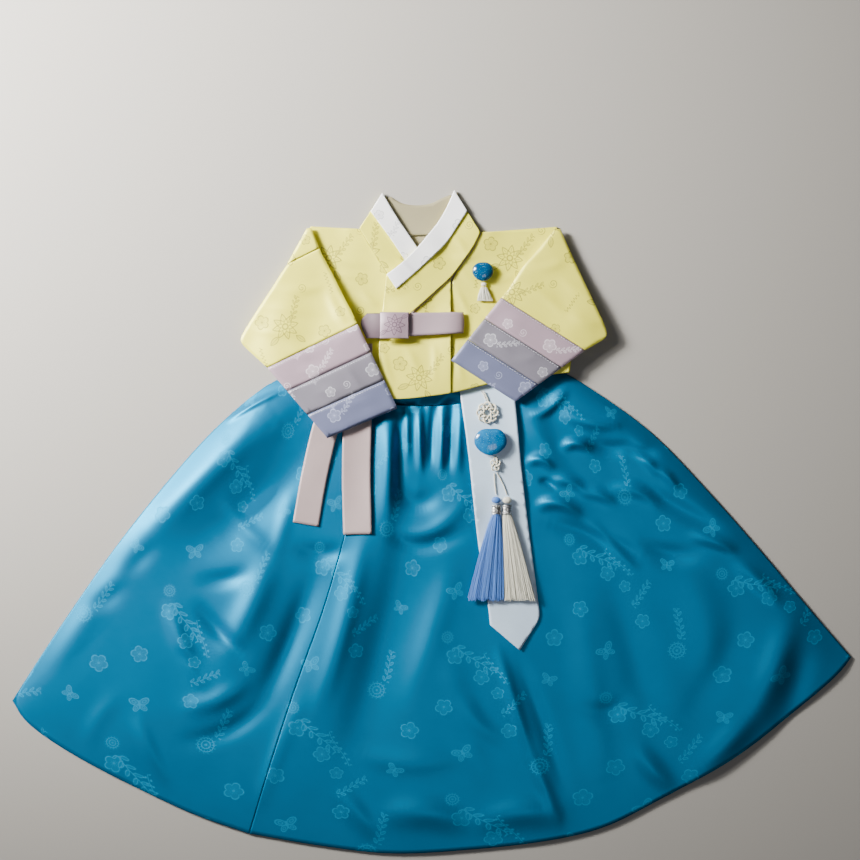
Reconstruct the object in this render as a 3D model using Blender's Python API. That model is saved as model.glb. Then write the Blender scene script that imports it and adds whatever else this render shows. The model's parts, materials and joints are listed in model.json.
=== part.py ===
"""A girl's first-birthday hanbok laid out flat: a short jacket (jeogori) over a full skirt (chima).

The garment lies on the plane z = 0 with its hem toward -Y and its collar toward +Y.  The wearer's
right is at -X.  Every piece of cloth is a wall of even thickness.  The pieces are laid one by one:
a height map holds the top of all that lies there already, and each new piece is draped over it.

All sizes below are in millimetres; METRE turns them into Blender's unit when a mesh is made.
"""

import math
from collections import namedtuple

import bmesh
import bpy
import numpy as np
from mathutils import Vector
from mathutils.bvhtree import BVHTree

METRE = 0.001

# ---------------------------------------------------------------- walls and clearances
GAP = 0.35               # clearance between two pieces that touch
SKIRT_WALL = 1.2
BAND_WALL = 1.6
JACKET_WALL = 1.2
COLLAR_WALL = 1.6
STRIP_WALL = 1.0
SLEEVE_WALL = 1.0
RIBBON_WALL = 1.0
SASH_WALL = 1.3

# ---------------------------------------------------------------- the pile and its drape
PILE_PITCH = 2.5         # spacing of the height map
PILE_HALF = (520.0, 420.0)
DRAPE_SLOPE = 0.38       # how steeply cloth comes down from an edge below it
DRAPE_STEPS = 16
SOFTENING_PASSES = 10

# ---------------------------------------------------------------- skirt
Point = namedtuple("Point", "x y")
WAIST_LEFT = Point(-151.0, 172.0)
WAIST_RIGHT = Point(143.0, 177.0)
WAIST_SAG = 41.0
SIDE_RIGHT = [Point(*WAIST_LEFT), Point(-190, 157), Point(-251, 105.5), Point(-312, 36.5),
              Point(-366, -32.5), Point(-426, -119), Point(-482, -205)]
SIDE_LEFT = [Point(*WAIST_RIGHT), Point(178, 157), Point(250, 105.5), Point(317, 36.5),
             Point(378, -32.5), Point(436, -101.5), Point(482, -155)]
SEAM = [Point(-62, 150), Point(-82, 60), Point(-100, -15), Point(-124, -100), Point(-153, -180),
        Point(-182, -268), Point(-209, -357)]
HEM_RIGHT = [Point(-482, -205), Point(-462, -232), Point(-410, -267), Point(-341, -303),
             Point(-272, -335), Point(-209, -357)]
HEM_MAIN = [Point(-209, -357), Point(-134, -370), Point(-48, -380), Point(38, -376),
            Point(122, -367), Point(195, -351), Point(262, -318), Point(349, -269),
            Point(418, -216), Point(466, -175), Point(482, -155)]
PLEAT_COLUMNS = 4        # mesh columns in one waist pleat
PLEATS_RIGHT = 5
PLEATS_MAIN = 12
SKIRT_ROWS = 19
BACK_WAIST_POINTS = 19
ROW_GRADING = 1.35       # rows are closer at the waist than at the hem
PLEAT_HEIGHT = 4.2
PLEAT_REACH = 0.20       # share of the skirt's length over which a pleat dies away
SKIRT_PUFF = 5.5         # how far the front stands off the back between its folds
PUFF_AT_WAIST = 0.35     # share of the puff that is left at the waist seam
PUFF_REACH = 0.12        # share of the skirt's length over which the puff fills out
LEAST_RISE = 0.6         # the front never comes nearer to the back than this
EDGE_ROUND = 22.0        # width over which the front comes down to the folded side edge
HEM_ROUND = 46.0
HEM_LIFT = 0.34          # share of the folds' height that is left at the hem

FOLD_SAMPLES = 25
Fold = namedtuple("Fold", "x0 y0 xm ym x1 y1 half_width height")
FOLDS = [
    # start            middle           end              half width, height
    Fold(-46, 128, -54, 40, -56, -40, 13, 7.0),         # long ridge beside the ribbon tails
    Fold(-72, -16, -98, -110, -132, -262, 26, 7.5),     # it runs on along the seam
    Fold(-166, 138, -236, 78, -330, -24, 26, 9.0),      # rounded ridge along the right edge
    Fold(42, 28, 14, -16, -18, -18, 11, 8.0),           # crescent below the waist pleats
    Fold(-190, -44, -206, -104, -220, -170, 24, 8.0),   # ridge down the right panel
    Fold(-222, -176, -244, -216, -296, -222, 16, 7.0),  # its hooked end
    Fold(-142, 90, -188, 12, -288, -36, 24, -4.5),      # slack inside the right edge
    Fold(-136, -62, -166, -240, -288, -254, 17, -6.0),  # hooked valley under the ridge
    Fold(-10, -40, -48, -160, -88, -310, 34, -3.5),     # long valley beside the seam's ridge
    Fold(110, 136, 126, 98, 140, 62, 10, 6.0),          # puckers under the left cuff
    Fold(150, 80, 164, 92, 178, 92, 9, 5.0),
    Fold(124, 34, 146, 14, 178, 20, 10, 6.5),
    Fold(150, 140, 196, 112, 250, 92, 14, 5.0),
    Fold(118, 6, 180, -14, 240, -52, 12, -4.5),         # trough slanting to the left edge
    Fold(236, 56, 290, 28, 334, 0, 12, 5.0),            # ridge along the left edge
    Fold(140, -60, 168, -160, 202, -300, 22, -2.5),     # shallow dips and ridges of the front
    Fold(34, -50, 6, -150, -16, -260, 22, 3.0),
    Fold(78, -120, 106, -230, 150, -346, 15, 4.0),      # low ridge below the sash
    Fold(414, -106, 386, -202, 306, -290, 26, 9.0),     # broad ridge near the left tip
    Fold(-40, -300, -12, -320, 18, -362, 20, 4.5),      # waves of the hem
    Fold(92, -300, 116, -326, 128, -366, 18, 4.5),
    Fold(-330, -210, -352, -240, -366, -290, 20, 4.0),
]

# ---------------------------------------------------------------- waistband and sash
WAISTBAND_HEIGHT = 32.0
WAISTBAND_CELLS = (14, 2)
SASH_LEFT = [Point(30, 176), Point(32.5, 149), Point(42, 80), Point(53, -21), Point(64, -90),
             Point(67, -117)]
SASH_RIGHT = [Point(92, 176), Point(96, 137), Point(106, 37), Point(121, -80), Point(125, -109)]
SASH_TIP = Point(101, -146)

# ---------------------------------------------------------------- jacket
JACKET_SIDE_RIGHT = [Point(-139.0, 340), Point(-160, 250), Point(-163, 215), Point(-162, 160)]
JACKET_SIDE_LEFT = [Point(144.0, 339.5), Point(163, 250), Point(163, 215), Point(158, 172)]
NECK_DIP = 330.0
NECK_RIGHT = Point(-82.9, 337.5)
NECK_LEFT = Point(56.2, 333.5)
HEM_JACKET = [Point(-162, 160), Point(-100, 146), Point(-40.7, 141.6), Point(-7.8, 144),
              Point(30.9, 149.8), Point(61.4, 158), Point(110, 166), Point(158, 172)]
INNER_FRONT_EDGE = [Point(-82.9, 337.0), Point(-48.6, 283), Point(-14, 232), Point(-8, 147)]
PANEL_SEAM_X = 22.4
PANEL_SEAM_TOP = 281.0
OVERLAP_EDGE_X = -59.8
OVERLAP_TOP = 212.0

# Outer and inner edge of each collar, from the neck to its lower end.
COLLAR_OUTER_UPPER = [Point(26.0, 381.5), Point(17.1, 361), Point(6.9, 343.5), Point(-3.3, 331),
                      Point(-15.6, 316), Point(-33.5, 298), Point(-51.4, 284.5)]
COLLAR_OUTER_LOWER = [Point(56.2, 333), Point(48, 315.8), Point(38.7, 303.4), Point(22.4, 281),
                      Point(6.9, 267.5), Point(-8.5, 253.1), Point(-25.5, 238.7), Point(-59.8, 211)]
COLLAR_INNER_UPPER = [Point(-56.5, 378.5), Point(-39.3, 349.6), Point(-23.9, 327.1),
                      Point(-4, 297)]
COLLAR_INNER_LOWER = [Point(-82.9, 337.5), Point(-66, 310), Point(-48.6, 283), Point(-28, 252)]
STRIP_OUTER_LOWER = [Point(40.9, 357.6), Point(27.5, 336.3), Point(16.1, 319.8), Point(2.8, 306.5),
                     Point(-13.7, 291.1), Point(-26, 280.2), Point(-40.4, 268)]
STRIP_INNER_LOWER = [Point(-69.8, 357.0), Point(-55.8, 337.5), Point(-44.4, 321.9),
                     Point(-18, 281)]
BACK_COLLAR_TOP = [Point(-53.5, 374), Point(-34, 366), Point(-15, 364), Point(4, 367),
                   Point(22.5, 376)]

# ---------------------------------------------------------------- sleeves
# Each section runs across the flattened sleeve: its outer and inner end and its thickness.
Section = namedtuple("Section", "outer inner thick")
SHOULDER_RIGHT = [Section(Point(-143.2, 337), Point(-137.6, 338), 2.6),
                  Section(Point(-153, 320), Point(-134, 329), 3.6),
                  Section(Point(-166, 296), Point(-128.9, 314.6), 4.2)]
SLEEVE_RIGHT = [Section(Point(-166.4, 295.2), Point(-128.6, 313.9), 4.2),
                Section(Point(-184, 266.5), Point(-121, 299), 4.6),
                Section(Point(-203, 238), Point(-113, 284), 5.0),
                Section(Point(-216, 217), Point(-107, 272), 5.2),
                Section(Point(-220.6, 207), Point(-103.5, 264), 5.2),
                Section(Point(-207, 195), Point(-94.5, 248), 5.0),
                Section(Point(-187.5, 177.2), Point(-84.4, 227.2), 4.8)]
CUFF_RIGHT = Section(Point(-118.7, 96.8), Point(-38.6, 130.8), 4.6)
SLEEVE_LEFT = [Section(Point(148, 336), Point(141.5, 337), 2.6),
               Section(Point(161, 306), Point(123, 313), 4.0),
               Section(Point(178, 269), Point(107, 297), 4.8),
               Section(Point(195, 233), Point(96, 280), 5.2),
               Section(Point(203.5, 213), Point(90, 270), 5.2),
               Section(Point(192, 207), Point(86.5, 265), 5.0),
               Section(Point(175.6, 197.2), Point(80.1, 258), 4.8)]
CUFF_LEFT = Section(Point(95.8, 138.3), Point(22.3, 185.5), 4.6)
CUFF_BANDS = ("rose", "lilac", "periwinkle")
RING_SIDES = 16
RING_SQUARENESS = 5.0    # exponent of the flattened ring's outline
ROOT_WALL = 2.4
ROOT_RIGHT = [Point(-142, 334), Point(-164, 297), Point(-214, 215), Point(-190, 203),
              Point(-168, 208), Point(-165, 250)]
ROOT_LEFT = [Point(147, 333), Point(162, 298), Point(194, 219), Point(184, 206), Point(168, 206),
             Point(168, 250)]

# ---------------------------------------------------------------- ribbon
TAIL_RIGHT = [Point(-84, 205), Point(-85, 110), Point(-86, 50), Point(-84.5, -13)]
TAIL_LEFT = [Point(-97, 205), Point(-107, 155), Point(-122.5, 104), Point(-135, 50),
             Point(-144, -2)]
TAIL_RIGHT_WIDTH = 33.0
TAIL_LEFT_WIDTH = 30.0
LOOP_SECTIONS = [Section(Point(-52, 212), Point(36.8, 217), 5.0),
                 Section(Point(-52, 226), Point(37.6, 229), 5.6),
                 Section(Point(-52, 239.5), Point(36.8, 241.3), 5.0)]
KNOT_LEFT, KNOT_RIGHT = -58.7, -25.8
KNOT_BOTTOM, KNOT_TOP = 210.6, 240.6
KNOT_WALL = 1.8
KNOT_SWELL = 0.9
FOLD_LEFT = [Point(-74, 240), Point(-81.5, 229), Point(-74.5, 211)]
FOLD_RIGHT = [Point(-54, 240), Point(-54, 229), Point(-54, 211)]

# ---------------------------------------------------------------- ornaments
CORD_RADIUS = 0.8
CORD_TOP = Point(58, 151)
CORD_BEND = Point(61, 146)
CORD_SPREAD = 1.1        # each of the two cords lies this far from their middle line
ROSETTE = Point(64, 126)
ROSETTE_RADIUS = 12.6
ROSETTE_LOBES = 8
ROSETTE_THICKNESS = 3.6
ROSETTE_TOP_SHARE = 0.86
LOBE_DEPTH = 0.14
BEAD = Point(67.5, 93.4)
BEAD_HALF = (19.5, 17.0, 5.6)
LOWER_KNOT = Point(73, 67)
LOWER_KNOT_HALF = (6.0, 8.4, 2.6)
STRING_BEND_Y = 45.0
HEAD_BLUE = Point(74, 26)
HEAD_IVORY = Point(86.5, 26)
KNOB_HALF = (5.8, 4.4, 3.6)
TASSEL_SLEEVE_HALF = (5.6, 5.2, 3.8)
TASSEL_SLEEVE_Y = 15.4
TasselSize = namedtuple("TasselSize", "x top end cells head_half head_long rise width_end x_end")
TASSEL_BLUE_SIZE = TasselSize(74.0, 5.8, -88.0, (6, 3), (5.2, 3.4), 3.6, 6.5, 43.0, 64.0)
TASSEL_IVORY_SIZE = TasselSize(86.5, 5.8, -88.0, (6, 3), (5.2, 3.4), 3.6, 6.5, 31.0, 102.8)
BROOCH_TASSEL_SIZE = TasselSize(60.0, 267.6, 255.5, (4, 2), (3.2, 2.0), 2.4, 4.0, 18.0, 61.5)
STRAND_INSET = 0.055     # each strand starts this far in from the edges of its cell
STRAND_STATIONS = (0.42, 1.0)
STRAND_TAPER = (0.94, 0.62)
STRAND_UNEVEN = 1.6      # how much longer or shorter a strand is than its neighbours
BROOCH = Point(59, 288)
BROOCH_HALF = (13.0, 12.0, 5.0)
BROOCH_KNOB = Point(60, 273.2)
BROOCH_KNOB_HALF = (3.6, 2.6, 2.4)

TURQUOISE = (0.001, 0.205, 0.392)
PALE_YELLOW = (0.75, 0.73, 0.27)
WHITE = (0.78, 0.79, 0.84)
LINING = (0.80, 0.82, 0.74)
ROSE = (0.61, 0.48, 0.56)
LILAC = (0.46, 0.44, 0.50)
PERIWINKLE = (0.37, 0.39, 0.58)
RIBBON_ROSE = (0.58, 0.43, 0.48)
IVORY = (0.80, 0.78, 0.68)
GLASS_BLUE = (0.002, 0.18, 0.42)
SILVER = (0.72, 0.72, 0.74)
TASSEL_BLUE = (0.27, 0.37, 0.75)


# ================================================================ curves in the plane
def smooth_through(points, per_span=8):
    """Points of a Catmull-Rom curve through the given ones."""
    pts = [np.array(p[:2], float) for p in points]
    pts = [2 * pts[0] - pts[1]] + pts + [2 * pts[-1] - pts[-2]]
    path = []
    for a, b, c, d in zip(pts, pts[1:], pts[2:], pts[3:]):
        for k in range(per_span):
            t = k / per_span
            path.append(0.5 * (2 * b + (c - a) * t + (2 * a - 5 * b + 4 * c - d) * t * t
                               + (3 * b - a - 3 * c + d) * t ** 3))
    path.append(pts[-2])
    return np.array(path)


def edge(points, smooth=True):
    """Function from a share of an edge's length, 0 to 1, to its point."""
    path = smooth_through(points) if smooth else np.array([p[:2] for p in points], float)
    length = np.concatenate([[0], np.cumsum(np.linalg.norm(np.diff(path, axis=0), axis=1))])
    length /= length[-1]
    return lambda t: np.array([np.interp(t, length, path[:, 0]), np.interp(t, length, path[:, 1])])


def between(left, right):
    """Patch ruled from one edge to the other; u runs across and v along the edges."""
    return lambda u, v: (1 - u) * left(v) + u * right(v)


def four_sided(top, bottom, left, right):
    """Coons patch inside four edges; v runs from the top edge to the bottom one."""
    def place(u, v):
        corners = ((1 - u) * (1 - v) * left(0) + u * (1 - v) * right(0)
                   + (1 - u) * v * left(1) + u * v * right(1))
        return (1 - v) * top(u) + v * bottom(u) + (1 - u) * left(v) + u * right(v) - corners
    return place


# ================================================================ the pile
class Pile:
    """Top of the cloth laid so far, as a height map over the floor."""

    def __init__(self):
        self.xs = np.arange(-PILE_HALF[0], PILE_HALF[0] + PILE_PITCH, PILE_PITCH)
        self.ys = np.arange(-PILE_HALF[1], PILE_HALF[1] + PILE_PITCH, PILE_PITCH)
        self.top = np.zeros((len(self.ys), len(self.xs)))

    def add(self, obj):
        """Raise the map to the top of an object."""
        shape = obj.evaluated_get(bpy.context.evaluated_depsgraph_get()).to_mesh()
        corners = [obj.matrix_world @ v.co / METRE for v in shape.vertices]
        tree = BVHTree.FromPolygons(corners, [list(p.vertices) for p in shape.polygons])
        low = np.min(corners, axis=0) - PILE_PITCH
        high = np.max(corners, axis=0) + PILE_PITCH
        down = Vector((0, 0, -1))
        for j in np.nonzero((self.ys > low[1]) & (self.ys < high[1]))[0]:
            for i in np.nonzero((self.xs > low[0]) & (self.xs < high[0]))[0]:
                hit = tree.ray_cast(Vector((self.xs[i], self.ys[j], 500)), down)[0]
                if hit is not None:
                    self.top[j, i] = max(self.top[j, i], hit.z)

    def cover(self, reach, spans=True):
        """Function giving the lowest height that clears cells of this reach.

        Cloth that spans also comes down from each step below it at an easy slope.
        """
        height = np.where(self.top > 0, self.top + GAP, 0.0)
        grown = height.copy()
        steps = math.ceil(reach / PILE_PITCH)
        for dy in range(-steps, steps + 1):
            for dx in range(-steps, steps + 1):
                if dx * dx + dy * dy <= steps * steps:
                    grown = np.maximum(grown, np.roll(height, (dy, dx), (0, 1)))
        around = [(dx, dy) for dx in (-1, 0, 1) for dy in (-1, 0, 1) if dx or dy]
        for _ in range(DRAPE_STEPS if spans else 0):
            for dx, dy in around:
                drop = DRAPE_SLOPE * PILE_PITCH * math.hypot(dx, dy)
                grown = np.maximum(grown, np.roll(grown, (dy, dx), (0, 1)) - drop)
        for _ in range(SOFTENING_PASSES if spans else 0):
            mean = sum(np.roll(grown, (dy, dx), (0, 1)) for dx, dy in around) / len(around)
            grown = np.maximum(grown, mean)
        return lambda x, y: self.read(grown, x, y)

    def read(self, heights, x, y):
        """Height at a point, from the four values around it."""
        i = (x - self.xs[0]) / PILE_PITCH
        j = (y - self.ys[0]) / PILE_PITCH
        i0, j0 = int(i), int(j)
        a, b = i - i0, j - j0
        return ((1 - a) * (1 - b) * heights[j0, i0] + a * (1 - b) * heights[j0, i0 + 1]
                + (1 - a) * b * heights[j0 + 1, i0] + a * b * heights[j0 + 1, i0 + 1])


# ================================================================ meshes
def material(name, colour, roughness=0.5, metallic=0.0):
    """Principled material with a plain colour."""
    mat = bpy.data.materials.new(name)
    mat.use_nodes = True
    shader = mat.node_tree.nodes["Principled BSDF"]
    shader.inputs["Base Color"].default_value = (*colour, 1.0)
    shader.inputs["Roughness"].default_value = roughness
    shader.inputs["Metallic"].default_value = metallic
    mat.diffuse_color = (*colour, 1.0)
    return mat


def finish(name, bm, colour, roughness=0.5, metallic=0.0, smooth=True):
    """Turn a closed shape in millimetres into a named object in metres."""
    bmesh.ops.recalc_face_normals(bm, faces=bm.faces)
    bmesh.ops.scale(bm, vec=(METRE, METRE, METRE), verts=bm.verts)
    mesh = bpy.data.meshes.new(name)
    bm.to_mesh(mesh)
    bm.free()
    if smooth:
        mesh.shade_smooth()
        mesh.set_sharp_from_angle(angle=math.radians(40))
    obj = bpy.data.objects.new(name, mesh)
    mesh.materials.append(material(name + "_finish", colour, roughness, metallic))
    HANBOK.objects.link(obj)
    return obj


def wall_on_grid(name, place, height, columns, rows, wall, colour, grading=1.0):
    """Wall of cloth: a grid moved to a patch, its underside at a height, thickened upward."""
    bm = bmesh.new()
    bmesh.ops.create_grid(bm, x_segments=columns, y_segments=rows, size=1.0)
    for vert in bm.verts:
        u = (vert.co.x + 1) / 2
        v = ((1 - vert.co.y) / 2) ** grading
        x, y = place(u, v)
        vert.co = (x, y, height(x, y, u, v))
    bmesh.ops.triangulate(bm, faces=bm.faces)
    grown = bmesh.ops.extrude_face_region(bm, geom=bm.faces[:])["geom"]
    raised = [item for item in grown if isinstance(item, bmesh.types.BMVert)]
    bmesh.ops.translate(bm, vec=(0, 0, wall), verts=raised)
    return finish(name, bm, colour)


def draped(name, place, columns, rows, wall, colour, pile, reach, form=None, grading=1.0):
    """Wall of cloth laid on the pile, raised by its own form, and added to the pile."""
    cover = pile.cover(reach)

    def height(x, y, u, v):
        return cover(x, y) + (form(u, v) if form else 0.0)

    obj = wall_on_grid(name, place, height, columns, rows, wall, colour, grading)
    pile.add(obj)
    return obj


def ring_points(section, cover, inset):
    """Points round a flattened ring: along its top, then back along its underside."""
    outer, inner = np.array(section.outer, float), np.array(section.inner, float)
    middle = (outer + inner) / 2
    half = (inner - outer) / 2
    length = np.linalg.norm(half)
    half = half * (length - 1.5 * inset) / length
    tall = section.thick / 2
    points = []
    for k in range(RING_SIDES):
        angle = 2 * math.pi * k / RING_SIDES
        share = math.cos(angle)
        rise = (1 - abs(share) ** RING_SQUARENESS) ** (1 / RING_SQUARENESS) * (tall - inset)
        x, y = middle + share * half
        sign = 0.0 if k in (0, RING_SIDES // 2) else math.copysign(1.0, math.sin(angle))
        points.append((x, y, cover(x, y) + tall + sign * rise))
    return points


def skin(bm, first, second):
    """Faces between two rings of vertices."""
    count = len(first)
    for k in range(count):
        bm.faces.new((first[k], first[(k + 1) % count], second[(k + 1) % count], second[k]))


def close_flat(bm, ring):
    """Close a flattened ring with faces from its top points to those below."""
    count = len(ring)
    half = count // 2
    bm.faces.new((ring[0], ring[1], ring[count - 1]))
    for k in range(1, half - 1):
        bm.faces.new((ring[k], ring[k + 1], ring[count - k - 1], ring[count - k]))
    bm.faces.new((ring[half - 1], ring[half], ring[half + 1]))


def flat_tube(name, sections, cover, wall, colour, closed=False):
    """Flattened tube of cloth, open at its last section and, unless closed, at its first."""
    bm = bmesh.new()
    outside = [[bm.verts.new(p) for p in ring_points(s, cover, 0.0)] for s in sections]
    hollow = sections[1:] if closed else sections
    inside = [[bm.verts.new(p) for p in ring_points(s, cover, wall)] for s in hollow]
    for rings in (outside, inside):
        for first, second in zip(rings, rings[1:]):
            skin(bm, first, second)
    skin(bm, outside[-1], inside[-1])
    if closed:
        close_flat(bm, outside[0])
        close_flat(bm, inside[0])
    else:
        skin(bm, outside[0], inside[0])
    bmesh.ops.triangulate(bm, faces=bm.faces)
    return finish(name, bm, colour)


def flat_plate(name, outline, level, wall, colour):
    """Flat panel of cloth inside an outline, its underside at a level."""
    curve = bpy.data.curves.new(name, "CURVE")
    curve.dimensions = "2D"
    curve.fill_mode = "BOTH"
    curve.extrude = wall / 2 * METRE
    spline = curve.splines.new("POLY")
    spline.points.add(len(outline) - 1)
    for point, (x, y) in zip(spline.points, outline):
        point.co = (x * METRE, y * METRE, 0, 1)
    spline.use_cyclic_u = True
    obj = bpy.data.objects.new(name, curve)
    obj.location.z = (level + wall / 2) * METRE
    curve.materials.append(material(name + "_finish", colour))
    HANBOK.objects.link(obj)
    bpy.context.view_layer.update()
    return obj


def section_between(first, second, share):
    """Section at a share of the way from one section to another."""
    def mix(a, b):
        return a + (b - a) * share
    return Section(Point(mix(first.outer.x, second.outer.x), mix(first.outer.y, second.outer.y)),
                   Point(mix(first.inner.x, second.inner.x), mix(first.inner.y, second.inner.y)),
                   mix(first.thick, second.thick))


# ================================================================ skirt
def waist(t):
    """Point of the waist seam, which sags toward the middle."""
    return np.array([WAIST_LEFT.x + (WAIST_RIGHT.x - WAIST_LEFT.x) * t,
                     WAIST_LEFT.y + (WAIST_RIGHT.y - WAIST_LEFT.y) * t
                     - WAIST_SAG * 4 * t * (1 - t)])


def fold_paths():
    """Each fold's line as sampled points, with its taper toward both ends."""
    share = np.linspace(0, 1, FOLD_SAMPLES)
    taper = np.sin(np.pi * np.clip(0.08 + 0.84 * share, 0, 1)) ** 0.7
    paths = []
    for f in FOLDS:
        x = (1 - share) ** 2 * f.x0 + 2 * share * (1 - share) * f.xm + share ** 2 * f.x1
        y = (1 - share) ** 2 * f.y0 + 2 * share * (1 - share) * f.ym + share ** 2 * f.y1
        paths.append((x, y, taper, f.half_width, f.height))
    return paths


def fold_height(paths, x, y):
    """Sum of the folds at a point."""
    total = 0.0
    for px, py, taper, half_width, height in paths:
        near = taper * np.exp(-((px - x) ** 2 + (py - y) ** 2) / half_width ** 2)
        total += height * near.max()
    return total


def distance_to(path, x, y):
    """Distance from a point to a sampled line."""
    a, b = path[:-1], path[1:]
    along = b - a
    share = ((np.array([x, y]) - a) * along).sum(1) / (along ** 2).sum(1)
    foot = a + along * np.clip(share, 0, 1)[:, None]
    return np.hypot(foot[:, 0] - x, foot[:, 1] - y).min()


def rounded(distance, reach):
    """Rise of a rounded edge: steep at the edge, level at the reach."""
    share = min(distance / reach, 1.0)
    return math.sqrt(1 - (1 - share) ** 2)


class SkirtForm:
    """Height of the skirt front's underside over the back panel."""

    def __init__(self):
        self.paths = fold_paths()
        self.sides = [smooth_through(SIDE_RIGHT), smooth_through(SIDE_LEFT)]
        self.hem = np.vstack([smooth_through(HEM_RIGHT), smooth_through(HEM_MAIN)[1:]])

    def height(self, x, y, pleat_phase, v):
        """Underside at a point; the pleat phase counts whole pleats from the panel's edge."""
        side = min(distance_to(path, x, y) for path in self.sides)
        hem = HEM_LIFT + (1 - HEM_LIFT) * rounded(distance_to(self.hem, x, y), HEM_ROUND)
        pleats = PLEAT_HEIGHT * (0.5 - 0.5 * math.cos(2 * math.pi * pleat_phase))
        pleats *= math.exp(-(v / PLEAT_REACH) ** 2)
        puff = SKIRT_PUFF * min(1.0, PUFF_AT_WAIST + v / PUFF_REACH)
        free = max(LEAST_RISE, puff + pleats + fold_height(self.paths, x, y))
        return SKIRT_WALL + GAP + rounded(side, EDGE_ROUND) * hem * free


def build_skirt(pile):
    """Back panel, the two front panels and the waistband."""
    outline = [waist(t) for t in np.linspace(0, 1, BACK_WAIST_POINTS)]
    outline += list(smooth_through(SIDE_LEFT, 3)[1:])
    outline += list(smooth_through(HEM_MAIN[::-1], 4)[1:])
    outline += list(smooth_through(HEM_RIGHT[::-1], 4)[1:])
    outline += list(smooth_through(SIDE_RIGHT[::-1], 3)[1:-1])
    pile.add(flat_plate("skirt_back", outline, 0.0, SKIRT_WALL, TURQUOISE))

    form = SkirtForm()
    seam = edge(SEAM)
    seam_share = (SEAM[0].x - WAIST_LEFT.x) / (WAIST_RIGHT.x - WAIST_LEFT.x)
    start = waist(seam_share)
    half_gap = np.array([GAP / 2, 0])

    def seam_line(v, side):
        """The seam, moved to begin on the waist and to leave a gap between the panels."""
        return seam(v) + (start - seam(0)) * (1 - v) ** 4 + side * half_gap

    right_front = four_sided(lambda u: waist(u * seam_share) - u * half_gap,
                             lambda u: edge(HEM_RIGHT)(u) - u * half_gap,
                             edge(SIDE_RIGHT), lambda v: seam_line(v, -1))
    main_front = four_sided(lambda u: waist(seam_share + u * (1 - seam_share)) + (1 - u) * half_gap,
                            lambda u: edge(HEM_MAIN)(u) + (1 - u) * half_gap,
                            lambda v: seam_line(v, 1), edge(SIDE_LEFT))
    fronts = []
    for name, place, pleats in (("skirt_front_right", right_front, PLEATS_RIGHT),
                                ("skirt_front_main", main_front, PLEATS_MAIN)):
        fronts.append(wall_on_grid(name, place,
                                   lambda x, y, u, v, n=pleats: form.height(x, y, u * n, v),
                                   pleats * PLEAT_COLUMNS, SKIRT_ROWS, SKIRT_WALL, TURQUOISE,
                                   ROW_GRADING))
    for side, level in (("back", 0.0), ("front", BAND_WALL + GAP)):
        def place(u, v):
            return waist(u) + np.array([0, GAP + WAISTBAND_HEIGHT * (1 - v)])
        obj = wall_on_grid("waistband_" + side, place, lambda x, y, u, v, z=level: z,
                           *WAISTBAND_CELLS, BAND_WALL, TURQUOISE)
        fronts.append(obj)
    for obj in fronts:
        pile.add(obj)


def build_sash(pile):
    """White sash with a pointed end, lying on the skirt."""
    left, tip, right = (np.array(p, float) for p in (SASH_LEFT[-1], SASH_TIP, SASH_RIGHT[-1]))

    def bottom(u):
        """The pointed end: one straight side to the tip, then the other."""
        return left + (tip - left) * 2 * u if u < 0.5 else tip + (right - tip) * (2 * u - 1)

    top = edge([SASH_LEFT[0], SASH_RIGHT[0]], smooth=False)
    place = four_sided(top, bottom, edge(SASH_LEFT), edge(SASH_RIGHT))
    draped("sash", place, 6, 22, SASH_WALL, WHITE, pile, reach=11)


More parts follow.
